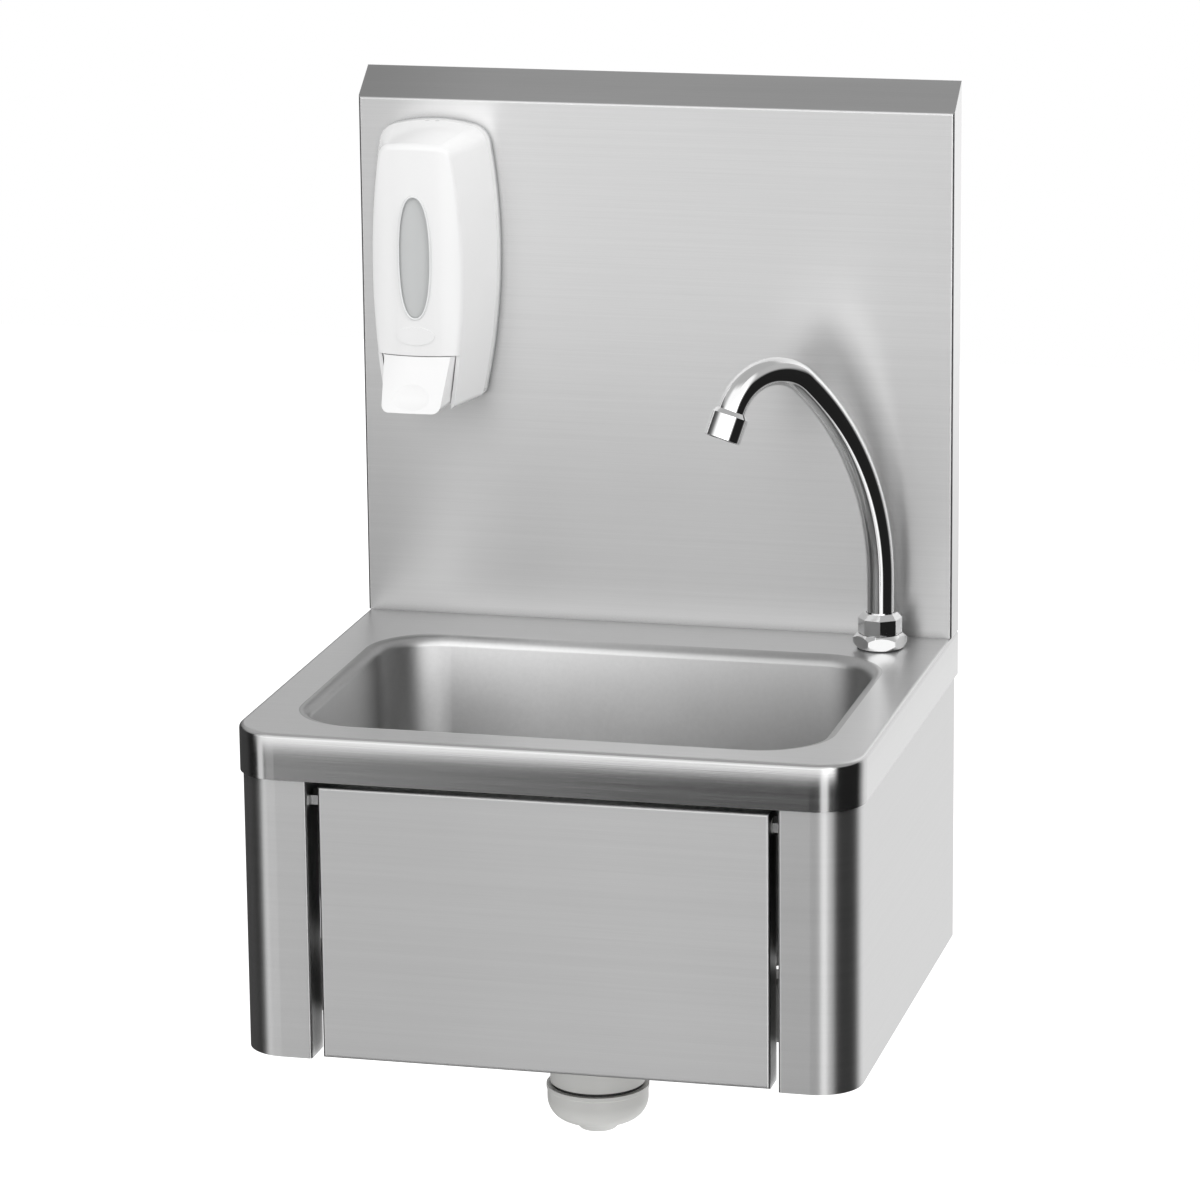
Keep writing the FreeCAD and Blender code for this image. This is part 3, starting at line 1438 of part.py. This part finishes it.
def screw_shapes():
    """Countersunk screws whose heads lie flush with the plate."""
    screws = []
    for place in soap_screw_places():
        start = place + Y * soap_back
        slope = soap_screw_head - soap_screw_radius
        screws.append(turned([(0, 0), (soap_screw_head, 0), (soap_screw_radius, slope),
                              (soap_screw_radius, soap_screw_length), (0, soap_screw_length)], start, Y))
    return screws


def dispenser_screws():
    return Part.Compound(screw_shapes())


def cover_hinge_pins():
    pins = []
    length = hinge_ear_outer - hinge_ear_inner + hinge_lug_gap + hinge_lug_length - hinge_pin_cover
    for side in (-1, 1):
        pins.append(cylinder(hinge_pin_radius, hinge_axis(side * hinge_ear_inner), X * side, length))
    return Part.Compound(pins)


def soap_reservoir():
    """A tank that follows the cover's inside and stands on the plate's ledge."""
    ys = (soap_face, soap_back)
    tank = soap_form(reservoir_inset, soap_back).common(box(everywhere_x(), ys, (reservoir_low, reservoir_high)))
    room = soap_form(reservoir_inset + reservoir_wall, soap_back - reservoir_wall)
    room = room.common(box(everywhere_x(), ys, (reservoir_low + reservoir_wall, reservoir_high + overrun)))
    return tank.cut(room)


def reservoir_lid():
    span = (reservoir_high, reservoir_high + lid_thickness)
    return soap_form(reservoir_inset, soap_back).common(box(everywhere_x(), (soap_face, soap_back), span))


def pump_axis(height):
    return Vector(soap_x, splash_face - pump_from_splash, height)


def pump_line(y):
    return Vector(soap_x, y, pump_z)


def pump_tip_y():
    return soap_face + lever_wall + pump_gap


def pump_body():
    """Neck under the reservoir and a cross bore for the plunger."""
    neck = cylinder(pump_neck_radius, pump_axis(reservoir_low), -Z, reservoir_low - pump_z - pump_housing_radius / 2)
    front = splash_face - pump_front
    housing = cylinder(pump_housing_radius, pump_line(front), Y, pump_front - pump_back)
    spigot = cylinder(nozzle_radius + spigot_wall, pump_axis(pump_z), -Z, spigot_length)
    bore = cylinder(pump_rod_radius + pump_rod_clearance, pump_line(front - overrun), Y,
                    overrun + pump_rod_cover + pump_stroke_room)
    seat = cylinder(nozzle_radius, pump_axis(nozzle_top), -Z, nozzle_seat + overrun)
    return neck.fuse([housing, spigot]).cut([bore, seat]).removeSplitter()


def pump_nozzle():
    return ring(nozzle_radius, nozzle_bore, pump_axis(nozzle_top), -Z, nozzle_length)


def pump_plunger():
    """A rod with a domed head and the collar that its spring bears on."""
    tip = pump_tip_y()
    rod = cylinder(pump_rod_radius, pump_line(tip), Y, pump_rod_end - tip)
    dome = Part.makeSphere(pump_head_radius, pump_line(tip + pump_head_radius))
    behind = cylinder(pump_head_radius, pump_line(tip + pump_head_radius), Y, pump_rod_end - tip)
    rod = rod.common(dome.fuse(behind))
    collar = cylinder(pump_collar_radius, pump_line(tip + pump_collar_from_tip), Y, pump_collar_thickness)
    return rod.fuse(collar).removeSplitter()


def pump_spring():
    start = pump_tip_y() + pump_collar_from_tip + pump_collar_thickness
    length = splash_face - pump_front - start
    return coil(pump_spring_radius, pump_spring_wire, pump_spring_turns, pump_line(start), Y, length)


def lock_catch():
    """The catch behind the key slots that holds the cover shut."""
    low = reservoir_high + lid_thickness + overrun
    return box(middle_x(catch_width / 2), (soap_back - catch_depth, soap_back), (low, low + catch_height))


def left_casing_panel():
    return right_casing_panel().mirror(Vector(0, 0, 0), X)


pieces = (deck, bowl, splashback, left_casing_panel, right_casing_panel, rear_wall_rail, cross_rail,
          knee_panel, pivot_bushes, pivot_bolts, pivot_nuts, pivot_end_nuts, push_pad,
          valve_body, valve_cap, valve_lock_nut, valve_plunger, valve_spring, supply_pipe, pipe_nuts,
          tap_base, tap_gasket, tap_washer, tap_back_nut, union_nut, swivel_washer,
          spout_tube, aerator_housing, aerator_insert,
          waste_grid, waste_screw, waste_gasket, waste_body, trap_top_nut, trap_body, dip_tube,
          trap_seal, trap_cup, outlet_nut, outlet_pipe,
          dispenser_back_plate, dispenser_screws, soap_reservoir, reservoir_lid, pump_body,
          pump_nozzle, pump_plunger, pump_spring, lock_catch, cover_hinge_pins,
          dispenser_cover, dispenser_window, dispenser_lever, lever_pins)

os.makedirs("parts", exist_ok=True)
for piece in pieces:
    piece().exportStep("parts/" + piece.__name__ + ".step")
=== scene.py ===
from math import radians

import bpy
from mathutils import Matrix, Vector


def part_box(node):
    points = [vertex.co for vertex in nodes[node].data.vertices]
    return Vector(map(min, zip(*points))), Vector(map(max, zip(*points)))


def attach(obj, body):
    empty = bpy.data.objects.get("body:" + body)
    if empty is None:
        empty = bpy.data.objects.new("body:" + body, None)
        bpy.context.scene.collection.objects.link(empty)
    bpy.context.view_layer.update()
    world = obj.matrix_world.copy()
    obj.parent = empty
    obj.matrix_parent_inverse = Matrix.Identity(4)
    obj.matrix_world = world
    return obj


# A stainless steel hand wash sink. Metres; the frame's X runs to the right, Y into the wall.

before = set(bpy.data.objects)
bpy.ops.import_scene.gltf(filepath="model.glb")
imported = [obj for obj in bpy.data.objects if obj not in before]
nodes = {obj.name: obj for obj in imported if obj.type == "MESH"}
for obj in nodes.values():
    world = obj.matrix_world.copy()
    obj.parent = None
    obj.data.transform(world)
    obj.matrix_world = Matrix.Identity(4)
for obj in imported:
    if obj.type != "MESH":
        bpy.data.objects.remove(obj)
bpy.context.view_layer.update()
bpy.ops.object.select_all(action="DESELECT")

# How finely broken a crisp pattern and a smooth one are
CRISP = {"Detail": 3.0, "Roughness": 0.6}
SMOOTH = {"Detail": 2.0, "Roughness": 0.5}

# Brushed sheets: how often the grain changes per metre, and how it shows
ALONG_GRAIN = 12.0
ACROSS_GRAIN = 2600.0
GRAIN_ON_WALLS = (ALONG_GRAIN, ALONG_GRAIN, ACROSS_GRAIN)
GRAIN_ON_TOPS = (ALONG_GRAIN, ACROSS_GRAIN, ALONG_GRAIN)
GRAIN_IN_BOWL = (300.0, 300.0, 300.0)
STREAK_SCALE = 0.12
CLOUD_SCALE = 9.0
GRAIN_SHARE, STREAK_SHARE, CLOUD_SHARE = 0.5, 0.35, 0.15
GRAIN_DARKEST, GRAIN_LIGHTEST = 0.88, 1.10
GRAIN_ROUGHNESS_SWING = 0.10
GRAIN_BUMP = 0.25
GRAIN_DEPTH = 0.00008
GRAIN_TURN = 0.25
SHEET_ROUGHNESS = 0.36
SHEET_STRETCH = 0.85
SHEET_LEAN = 0.12
LEANT_EVERYWHERE = {"most": SHEET_LEAN, "low": -1.0, "high": -0.9}
# Painted shade: sheets are painted dark deep in gaps narrower than these reaches, found by ambient
# occlusion
WIDE_PAINTED_SHADE_REACH = 0.02
NARROW_PAINTED_SHADE_REACH = 0.012
PAINTED_GAP_SHADE = 0.02
GAP_SAMPLES = 8
GAP_SHUT, GAP_OPEN = 0.15, 0.75
UPWARD_FROM, UPWARD_TO = 0.5, 0.9

# Plate, bare metal and plastics
SMEAR_SCALE = 60.0
SMEAR_DARKEST = 0.97
SMEAR_ROUGHNESS = 0.03
MOTTLE_SCALE = 400.0
MOTTLE_DARKEST = 0.85
MOTTLE_ROUGHNESS_SWING = 0.08
MOTTLE_BUMP = 0.1
MOTTLE_DEPTH = 0.00005
MOULD_FINE_SCALE = 900.0
MOULD_BROAD_SCALE = 14.0
MOULD_DARKEST = 0.96
MOULD_ROUGHNESS_SWING = 0.08
MOULD_BUMP = 0.05
MOULD_DEPTH = 0.00004
COAT_ROUGHNESS = 0.08

# Bead round the dispenser's window
RIM_THICKNESS = 0.0007
RIM_HALF_WIDTH = 0.0108
RIM_HALF_HEIGHT = 0.0405
RIM_SQUARENESS = 0.66
RIM_FACE = -0.0868
RIM_BOW = 0.0009
RIM_STEPS = 24
RIM_BEVEL_STEPS = 4

# Camera
SENSOR_WIDTH = 36.0
LENS = 162.386
CLIP_START, CLIP_END = 0.1, 100.0
CAMERA_PLACE = (0.816378, -3.431143, 0.965360)
CAMERA_TURN = (75.7916, 0.5697, 13.947)

# Studio. Bearings are in degrees from the front, positive to the right; heights are the sine of the
# angle above the horizon.
WINDOW_LEFT = (-75, -38)
WINDOW_RIGHT = (42, 58)
WINDOW_SILL = (-0.22, -0.07)
WINDOW_LEVEL = 1.6
GLARE = {"centre": 34, "core": 6, "edge": 20}
GLARE_LEVEL = 0.7
PATCHES = [
    ({"centre": -28, "core": 9, "edge": 15}, 0.42),
    ({"centre": 24, "core": 6, "edge": 12}, 1.1),
    ({"centre": -52, "core": 5, "edge": 11}, 1.0),
]
BEHIND_RIGHT = (112, 150)
BEHIND_LEFT = (-178, -150)
DARK_LEVEL = 0.015
LEFT_SIDE = (-100, -80)
LEFT_LEVEL = 0.05
RING_HEIGHTS = (0.24, 0.50)
RING_LEVEL = 0.50
RING_GAIN = 0.60
CEILING_HEIGHTS = (0.72, 0.90)
CEILING_LEVEL = 0.46
SOFT_LEVEL = 0.88
LAMPS = [
    {"name": "key", "place": (-1.4, -2.6, 2.0), "width": 1.6, "height": 1.2, "watts": 17.5},
    {"name": "side", "place": (2.4, -1.2, 1.4), "width": 1.2, "height": 1.6, "watts": 24.0},
]
LAMP_AIM = (0.0, -0.15, 0.1)
FLOOR_SIZE = 8.0
FLOOR_HEIGHT = -0.6
FLOOR_SHADE = 0.8
FLOOR_GLOW = 0.5
WHITE = 1.0


# Shader building blocks
class Value:
    """A shader socket that takes part in sums and products."""

    def __init__(self, recipe, socket):
        self.recipe = recipe
        self.socket = socket

    def math(self, operation, first, second=None):
        sockets = {0: first} if second is None else {0: first, 1: second}
        return self.recipe.node("Math", {"operation": operation}, sockets)

    def __add__(self, other):
        return self.math("ADD", self, other)

    def __radd__(self, other):
        return self.math("ADD", other, self)

    def __sub__(self, other):
        return self.math("SUBTRACT", self, other)

    def __rsub__(self, other):
        return self.math("SUBTRACT", other, self)

    def __mul__(self, other):
        return self.math("MULTIPLY", self, other)

    def __rmul__(self, other):
        return self.math("MULTIPLY", other, self)

    def size(self):
        return self.math("ABSOLUTE", self)

    def step(self, low, high):
        """Smoothly from 0 at low to 1 at high."""
        settings = {"interpolation_type": "SMOOTHSTEP"}
        sockets = {"Value": self, "From Min": low, "From Max": high}
        return self.recipe.node("MapRange", settings, sockets)


class Recipe:
    """The nodes of one material, or of the world."""

    def __init__(self, name, world=False):
        owner = bpy.data.worlds.new(name) if world else bpy.data.materials.new(name)
        owner.use_nodes = True
        self.owner = owner
        self.tree = owner.node_tree
        self.tree.nodes.clear()
        end = "ShaderNodeOutputWorld" if world else "ShaderNodeOutputMaterial"
        self.end = self.tree.nodes.new(end)

    def node(self, kind, settings, sockets, output=0):
        """Adds a node: its settings first, then the values or links of its sockets."""
        made = self.tree.nodes.new("ShaderNode" + kind)
        for name, value in settings.items():
            setattr(made, name, value)
        for name, value in sockets.items():
            if isinstance(value, Value):
                self.tree.links.new(value.socket, made.inputs[name])
            else:
                made.inputs[name].default_value = value
        return Value(self, made.outputs[output])

    def place(self):
        """Where a point lies in the object, in metres."""
        return self.node("TexCoord", {}, {}, "Object")

    def stretched(self, scale):
        """Where a point lies, scaled on each axis."""
        return self.node("Mapping", {}, {"Vector": self.place(), "Scale": scale})

    def noise(self, where, scale=1.0, kind=SMOOTH):
        return self.node("TexNoise", {}, {"Vector": where, "Scale": scale, **kind})

    def normal(self):
        return self.node("NewGeometry", {}, {}, "Normal")

    def part(self, vector, axis):
        return self.node("SeparateXYZ", {}, {0: vector}, axis)

    def upward(self):
        """1 where the surface faces up or down, 0 on upright faces."""
        return self.part(self.normal(), "Z").size().step(UPWARD_FROM, UPWARD_TO)

    def openness_for_painted_shade(self, reach):
        """1 on open surfaces, down to 0 deep in gaps narrower than reach, for painting shade into
        gaps.
        """
        seen = self.node("AmbientOcclusion", {"samples": GAP_SAMPLES}, {"Distance": reach}, "AO")
        return seen.step(GAP_SHUT, GAP_OPEN)

    def leant(self, lift):
        """The surface's normal, leant upwards by lift."""
        up = self.node("CombineXYZ", {}, {"Z": lift})
        return self.node("VectorMath", {"operation": "ADD"}, {0: self.normal(), 1: up})

    def tint(self, factor, first, second):
        """From the first colour at 0 to the second at 1."""
        settings = {"data_type": "RGBA"}
        return self.node("Mix", settings, {0: factor, 6: rgba(first), 7: rgba(second)}, 2)

    def painted_shade_gradient(self, colour, axis, low, high, first, last):
        """The colour, times first up to low along an axis and times last from high on: a painted
        shade gradient.
        """
        factor = first + (last - first) * self.part(self.place(), axis).step(low, high)
        return self.node("VectorMath", {"operation": "SCALE"}, {0: colour, "Scale": factor})

    def bump(self, height, strength, distance, normal=None):
        sockets = {"Height": height, "Strength": strength, "Distance": distance}
        if normal is not None:
            sockets["Normal"] = normal
        return self.node("Bump", {}, sockets)

    def principled(self, sockets):
        return self.node("BsdfPrincipled", {}, sockets)

    def finish(self, shader):
        self.tree.links.new(shader.socket, self.end.inputs["Surface"])
        return self.owner


def rgba(colour):
    if isinstance(colour, Value):
        return colour
    if isinstance(colour, (int, float)):
        colour = (colour,) * 3
    return tuple(colour) + (1.0,)


def swinging(middle, pattern, swing):
    """A roughness about its middle value, higher and lower with a pattern."""
    return middle - swing / 2 + pattern * swing


# Finishes
def brushed(name, shade, scale=GRAIN_ON_WALLS, rough=SHEET_ROUGHNESS, stretch=SHEET_STRETCH,
            top_with_painted_shade=None, lean=None, painted_shade_reach=None, painted_shade_fades=()):
    """Satin sheet with a fine grain. Top holds the grain's scale, the roughness and a painted shade
    for faces that look up, lean holds how far upright faces turn up and the heights between which
    they start to, gaps under the reach get painted shade, and fades paint shade along an axis."""
    recipe = Recipe(name)

    def sheet(scale, shade, rough, stretch, normal=None):
        grain = recipe.noise(recipe.stretched(scale), kind=CRISP)
        streaks = recipe.noise(recipe.stretched([part * STREAK_SCALE for part in scale]))
        cloud = recipe.noise(recipe.place(), CLOUD_SCALE)
        mixed = grain * GRAIN_SHARE + streaks * STREAK_SHARE + cloud * CLOUD_SHARE
        colour = recipe.tint(mixed, shade * GRAIN_DARKEST, shade * GRAIN_LIGHTEST)
        # Painted shade: the colour is painted lighter and darker along an axis
        for painted_shade_fade in painted_shade_fades:
            colour = recipe.painted_shade_gradient(colour, **painted_shade_fade)
        # Painted shade: the colour is painted darker deep in narrow gaps
        if painted_shade_reach is not None:
            colour = recipe.tint(recipe.openness_for_painted_shade(painted_shade_reach), PAINTED_GAP_SHADE, colour)
        return recipe.principled({
            "Base Color": colour, "Metallic": 1.0,
            "Roughness": swinging(rough, mixed, GRAIN_ROUGHNESS_SWING),
            "Anisotropic": stretch, "Anisotropic Rotation": GRAIN_TURN,
            "Normal": recipe.bump(grain, GRAIN_BUMP, GRAIN_DEPTH, normal)})

    normal = None
    if lean is not None:
        height = recipe.part(recipe.place(), "Z").step(lean["low"], lean["high"])
        normal = recipe.leant(height * (1.0 - recipe.upward()) * lean["most"])
    side = sheet(scale, shade, rough, stretch, normal)
    if top_with_painted_shade is None:
        return recipe.finish(side)
    # Faces that look up get a painted shade of their own, set apart from the upright faces
    facing_up_with_painted_shade = sheet(**top_with_painted_shade, stretch=0.0)
    return recipe.finish(recipe.node("MixShader", {}, {0: recipe.upward(), 1: side, 2: facing_up_with_painted_shade}))


def plated(name, shade, rough):
    recipe = Recipe(name)
    smear = recipe.noise(recipe.place(), SMEAR_SCALE, CRISP)
    return recipe.finish(recipe.principled({
        "Base Color": recipe.tint(smear, shade * SMEAR_DARKEST, shade), "Metallic": 1.0,
        "Roughness": rough + smear * SMEAR_ROUGHNESS}))


def metal(name, colour, rough):
    recipe = Recipe(name)
    mottle = recipe.noise(recipe.place(), MOTTLE_SCALE, CRISP)
    dark = [part * MOTTLE_DARKEST for part in colour]
    return recipe.finish(recipe.principled({
        "Base Color": recipe.tint(mottle, dark, colour), "Metallic": 1.0,
        "Roughness": swinging(rough, mottle, MOTTLE_ROUGHNESS_SWING),
        "Normal": recipe.bump(mottle, MOTTLE_BUMP, MOTTLE_DEPTH)}))


def moulded(name, colour, rough, coat=0.0, texture=MOULD_BUMP):
    recipe = Recipe(name)
    fine = recipe.noise(recipe.place(), MOULD_FINE_SCALE)
    broad = recipe.noise(recipe.place(), MOULD_BROAD_SCALE)
    dark = [part * MOULD_DARKEST for part in colour]
    return recipe.finish(recipe.principled({
        "Base Color": recipe.tint(broad, dark, colour),
        "Roughness": swinging(rough, fine, MOULD_ROUGHNESS_SWING),
        "Coat Weight": coat, "Coat Roughness": COAT_ROUGHNESS,
        "Normal": recipe.bump(fine, texture, MOULD_DEPTH)}))


finishes = {
    # Splashback: its sloped top painted darker, painted shade darker towards the bottom and the
    # left, and painted shade in narrow gaps
    "splashback": brushed(
        "brushed sheet, splashback", shade=0.75, painted_shade_reach=NARROW_PAINTED_SHADE_REACH,
        top_with_painted_shade={"scale": GRAIN_ON_WALLS, "shade": 0.50, "rough": 0.30},
        painted_shade_fades=[{"axis": "Z", "low": 0.08, "high": 0.32, "first": 0.83, "last": 1.10},
               {"axis": "X", "low": -0.20, "high": -0.10, "first": 0.80, "last": 1.0}]),
    # Casing: painted shade in gaps
    "casing": brushed("brushed sheet, casing", shade=0.61, painted_shade_reach=WIDE_PAINTED_SHADE_REACH),
    # Knee panel: painted shade in gaps, and painted darker towards the left
    "knee panel": brushed(
        "brushed sheet, knee panel", shade=0.73, painted_shade_reach=WIDE_PAINTED_SHADE_REACH,
        painted_shade_fades=[{"axis": "X", "low": -0.15, "high": 0.10, "first": 0.86, "last": 1.0}]),
    # Deck: its top painted lighter than its upright apron
    "deck": brushed(
        "brushed sheet, deck", shade=0.58, rough=0.17, stretch=0.3,
        top_with_painted_shade={"scale": GRAIN_ON_TOPS, "shade": 0.70, "rough": 0.34},
        lean={"most": SHEET_LEAN, "low": 0.043, "high": 0.064}),
    # Bowl: painted lighter towards the left, darker towards the right, and darker again on its left
    # wall
    "bowl": brushed(
        "satin bowl", scale=GRAIN_IN_BOWL, shade=0.76, rough=0.38, stretch=0.0,
        lean=LEANT_EVERYWHERE,
        painted_shade_fades=[{"axis": "X", "low": -0.12, "high": 0.15, "first": 1.08, "last": 0.64},
               {"axis": "X", "low": -0.165, "high": -0.125, "first": 0.5, "last": 1.0}]),
    "rail": metal("mill finish steel", (0.58, 0.58, 0.57), rough=0.4),
    "fastener": metal("bright steel", (0.66, 0.66, 0.66), rough=0.25),
    "spring": metal("drawn wire", (0.5, 0.5, 0.5), rough=0.3),
    "chrome": plated("chrome plate", shade=0.9, rough=0.03),
    "brass": metal("turned brass", (0.72, 0.55, 0.30), rough=0.3),
    "copper": metal("drawn copper", (0.80, 0.45, 0.30), rough=0.32),
    "rubber": moulded("black rubber", (0.03, 0.03, 0.03), rough=0.6),
    "bush": moulded("natural nylon", (0.75, 0.75, 0.72), rough=0.5),
    "trap": moulded("light grey plastic", (0.72, 0.72, 0.70), rough=0.4),
    "white": moulded("gloss white plastic", (0.87, 0.87, 0.87), rough=0.22, coat=0.4, texture=0.02),
    "plate": moulded("grey plastic", (0.55, 0.56, 0.56), rough=0.45),
    "window": moulded("smoked window", (0.56, 0.57, 0.57), rough=0.2, coat=0.5),
    "rim": moulded("clear window rim", (0.80, 0.81, 0.81), rough=0.12, coat=0.6),
    "tank": moulded("milky plastic", (0.8, 0.81, 0.8), rough=0.4),
}

worn_by = {
    "splashback": ["splashback"],
    "casing": ["left_casing_panel", "right_casing_panel"],
    "knee panel": ["knee_panel"],
    "deck": ["deck"],
    "bowl": ["bowl"],
    "rail": ["rear_wall_rail", "cross_rail"],
    "fastener": ["pivot_bolts", "pivot_nuts", "pivot_end_nuts", "waste_screw", "dispenser_screws",
                 "cover_hinge_pins", "lever_pins", "tap_washer", "waste_grid", "valve_plunger"],
    "spring": ["valve_spring", "pump_spring"],
    "chrome": ["tap_base", "union_nut", "spout_tube", "aerator_housing", "pipe_nuts"],
    "brass": ["valve_body", "valve_cap", "valve_lock_nut", "tap_back_nut"],
    "copper": ["supply_pipe"],
    "rubber": ["push_pad", "tap_gasket", "waste_gasket", "trap_seal", "swivel_washer"],
    "bush": ["pivot_bushes", "aerator_insert"],
    "trap": ["waste_body", "trap_top_nut", "trap_body", "dip_tube", "trap_cup", "outlet_nut",
             "outlet_pipe"],
    "white": ["dispenser_cover", "dispenser_lever"],
    "plate": ["dispenser_back_plate", "lock_catch"],
    "window": ["dispenser_window"],
    "tank": ["soap_reservoir", "reservoir_lid", "pump_body", "pump_nozzle", "pump_plunger"],
}
for finish, wearers in worn_by.items():
    for node in wearers:
        mesh = nodes[node].data
        mesh.materials.clear()
        mesh.materials.append(finishes[finish])


# Piece modelled here
def window_rim():
    """A raised clear bead round the dispenser's window, bowed with the cover's face."""
    low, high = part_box("dispenser_window")
    centre_x = (low[0] + high[0]) / 2
    centre_z = (low[2] + high[2]) / 2
    bpy.ops.curve.primitive_bezier_circle_add(radius=1.0)
    bead = bpy.context.object
    bead.name = "window_rim"
    ring = bead.data
    ring.resolution_u = RIM_STEPS
    ring.bevel_depth = RIM_THICKNESS
    ring.bevel_resolution = RIM_BEVEL_STEPS
    left_top_right_foot = ((-1, 0), (0, 1), (1, 0), (0, -1))
    for knot, (across, up) in zip(ring.splines[0].bezier_points, left_top_right_foot):
        depth = RIM_FACE + RIM_BOW * abs(across)
        knot.handle_left_type = knot.handle_right_type = "FREE"
        knot.co = (centre_x + across * RIM_HALF_WIDTH, depth, centre_z + up * RIM_HALF_HEIGHT)
        along_x = up * RIM_HALF_WIDTH * RIM_SQUARENESS
        along_z = -across * RIM_HALF_HEIGHT * RIM_SQUARENESS
        along = (along_x, 0.0, along_z)
        knot.handle_right = [a + b for a, b in zip(knot.co, along)]
        knot.handle_left = [a - b for a, b in zip(knot.co, along)]
    bpy.ops.object.convert(target="MESH")
    bpy.ops.object.shade_smooth()
    bead.data.materials.clear()
    bead.data.materials.append(finishes["rim"])
    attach(bead, "dispenser_cover")
    bpy.ops.object.select_all(action="DESELECT")


window_rim()


# Camera, at the photograph's place
camera_data = bpy.data.cameras.new("camera")
camera_data.sensor_width = SENSOR_WIDTH
camera_data.lens = LENS
camera_data.clip_start = CLIP_START
camera_data.clip_end = CLIP_END
camera = bpy.data.objects.new("camera", camera_data)
camera.location = CAMERA_PLACE
camera.rotation_euler = [radians(angle) for angle in CAMERA_TURN]
bpy.context.scene.collection.objects.link(camera)
bpy.context.scene.camera = camera


# Studio
def studio_world():
    """White to the camera. Gloss sees a window in front, patches of light below it, dark sides,
    light behind, a ring of light above and a dim ceiling."""
    recipe = Recipe("studio", world=True)
    direction = recipe.node("TexCoord", {}, {}, "Generated")
    east = recipe.part(direction, "X")
    north = recipe.part(direction, "Y")
    height = recipe.part(direction, "Z")
    bearing = east.math("ARCTAN2", east, north * -1.0)

    def rising(low, high):
        """From 0 at one bearing to 1 at the next."""
        return bearing.step(radians(low), radians(high))

    def spot(centre, core, edge):
        """1 within the core about a bearing, down to 0 at the edge."""
        return 1.0 - (bearing - radians(centre)).size().step(radians(core), radians(edge))

    window = rising(*WINDOW_LEFT) * (1.0 - rising(*WINDOW_RIGHT))
    above_sill = height.step(*WINDOW_SILL)
    patches = 0.0
    for patch, strength in PATCHES:
        patches = patches + spot(**patch) * strength
    behind = rising(*BEHIND_RIGHT) + (1.0 - rising(*BEHIND_LEFT))
    dark = DARK_LEVEL + LEFT_LEVEL * (1.0 - rising(*LEFT_SIDE))
    front = (window * WINDOW_LEVEL + spot(**GLARE) * GLARE_LEVEL) * above_sill
    low = dark + front + patches * (1.0 - above_sill) + behind
    ceiling = height.step(*CEILING_HEIGHTS)
    high = (RING_LEVEL + RING_GAIN * (behind + window)) * (1.0 - ceiling) + CEILING_LEVEL * ceiling
    ring = height.step(*RING_HEIGHTS)
    mirrored = low * (1.0 - ring) + high * ring

    seen = recipe.node("LightPath", {}, {}, "Is Camera Ray")
    glossy = recipe.node("LightPath", {}, {}, "Is Glossy Ray")
    clear = recipe.node("LightPath", {}, {}, "Is Transmission Ray")
    plain = seen.math("MAXIMUM", seen, clear)
    lighting = SOFT_LEVEL * (1.0 - glossy) + mirrored * glossy
    strength = plain + lighting * (1.0 - plain)
    return recipe.finish(recipe.node("Background", {}, {"Color": rgba(WHITE), "Strength": strength}))


bpy.context.scene.world = studio_world()


def lamp(name, place, width, height, watts):
    data = bpy.data.lights.new(name, "AREA")
    data.shape = "RECTANGLE"
    data.size, data.size_y = width, height
    data.energy = watts
    made = bpy.data.objects.new(name, data)
    made.location = place
    made.rotation_mode = "QUATERNION"
    towards = [b - a for a, b in zip(place, LAMP_AIM)]
    made.rotation_quaternion = Vector(towards).to_track_quat("-Z", "Y")
    made.visible_glossy = False
    bpy.context.scene.collection.objects.link(made)


for settings in LAMPS:
    lamp(**settings)


def floor():
    recipe = Recipe("pale floor")
    paint = recipe.node("BsdfDiffuse", {}, {"Color": rgba(FLOOR_SHADE)})
    seen = recipe.node("LightPath", {}, {}, "Is Camera Ray")
    glow = recipe.node("Emission", {}, {"Color": rgba(WHITE), "Strength": seen * FLOOR_GLOW})
    bpy.ops.mesh.primitive_plane_add(size=FLOOR_SIZE, location=(0.0, 0.0, FLOOR_HEIGHT))
    plane = bpy.context.object
    plane.name = "floor"
    bpy.ops.object.transform_apply(location=True)
    plane.data.materials.append(recipe.finish(recipe.node("AddShader", {}, {0: paint, 1: glow})))
    plane.visible_glossy = False
    bpy.ops.object.select_all(action="DESELECT")


floor()

view = bpy.context.scene.view_settings
view.view_transform = "Standard"
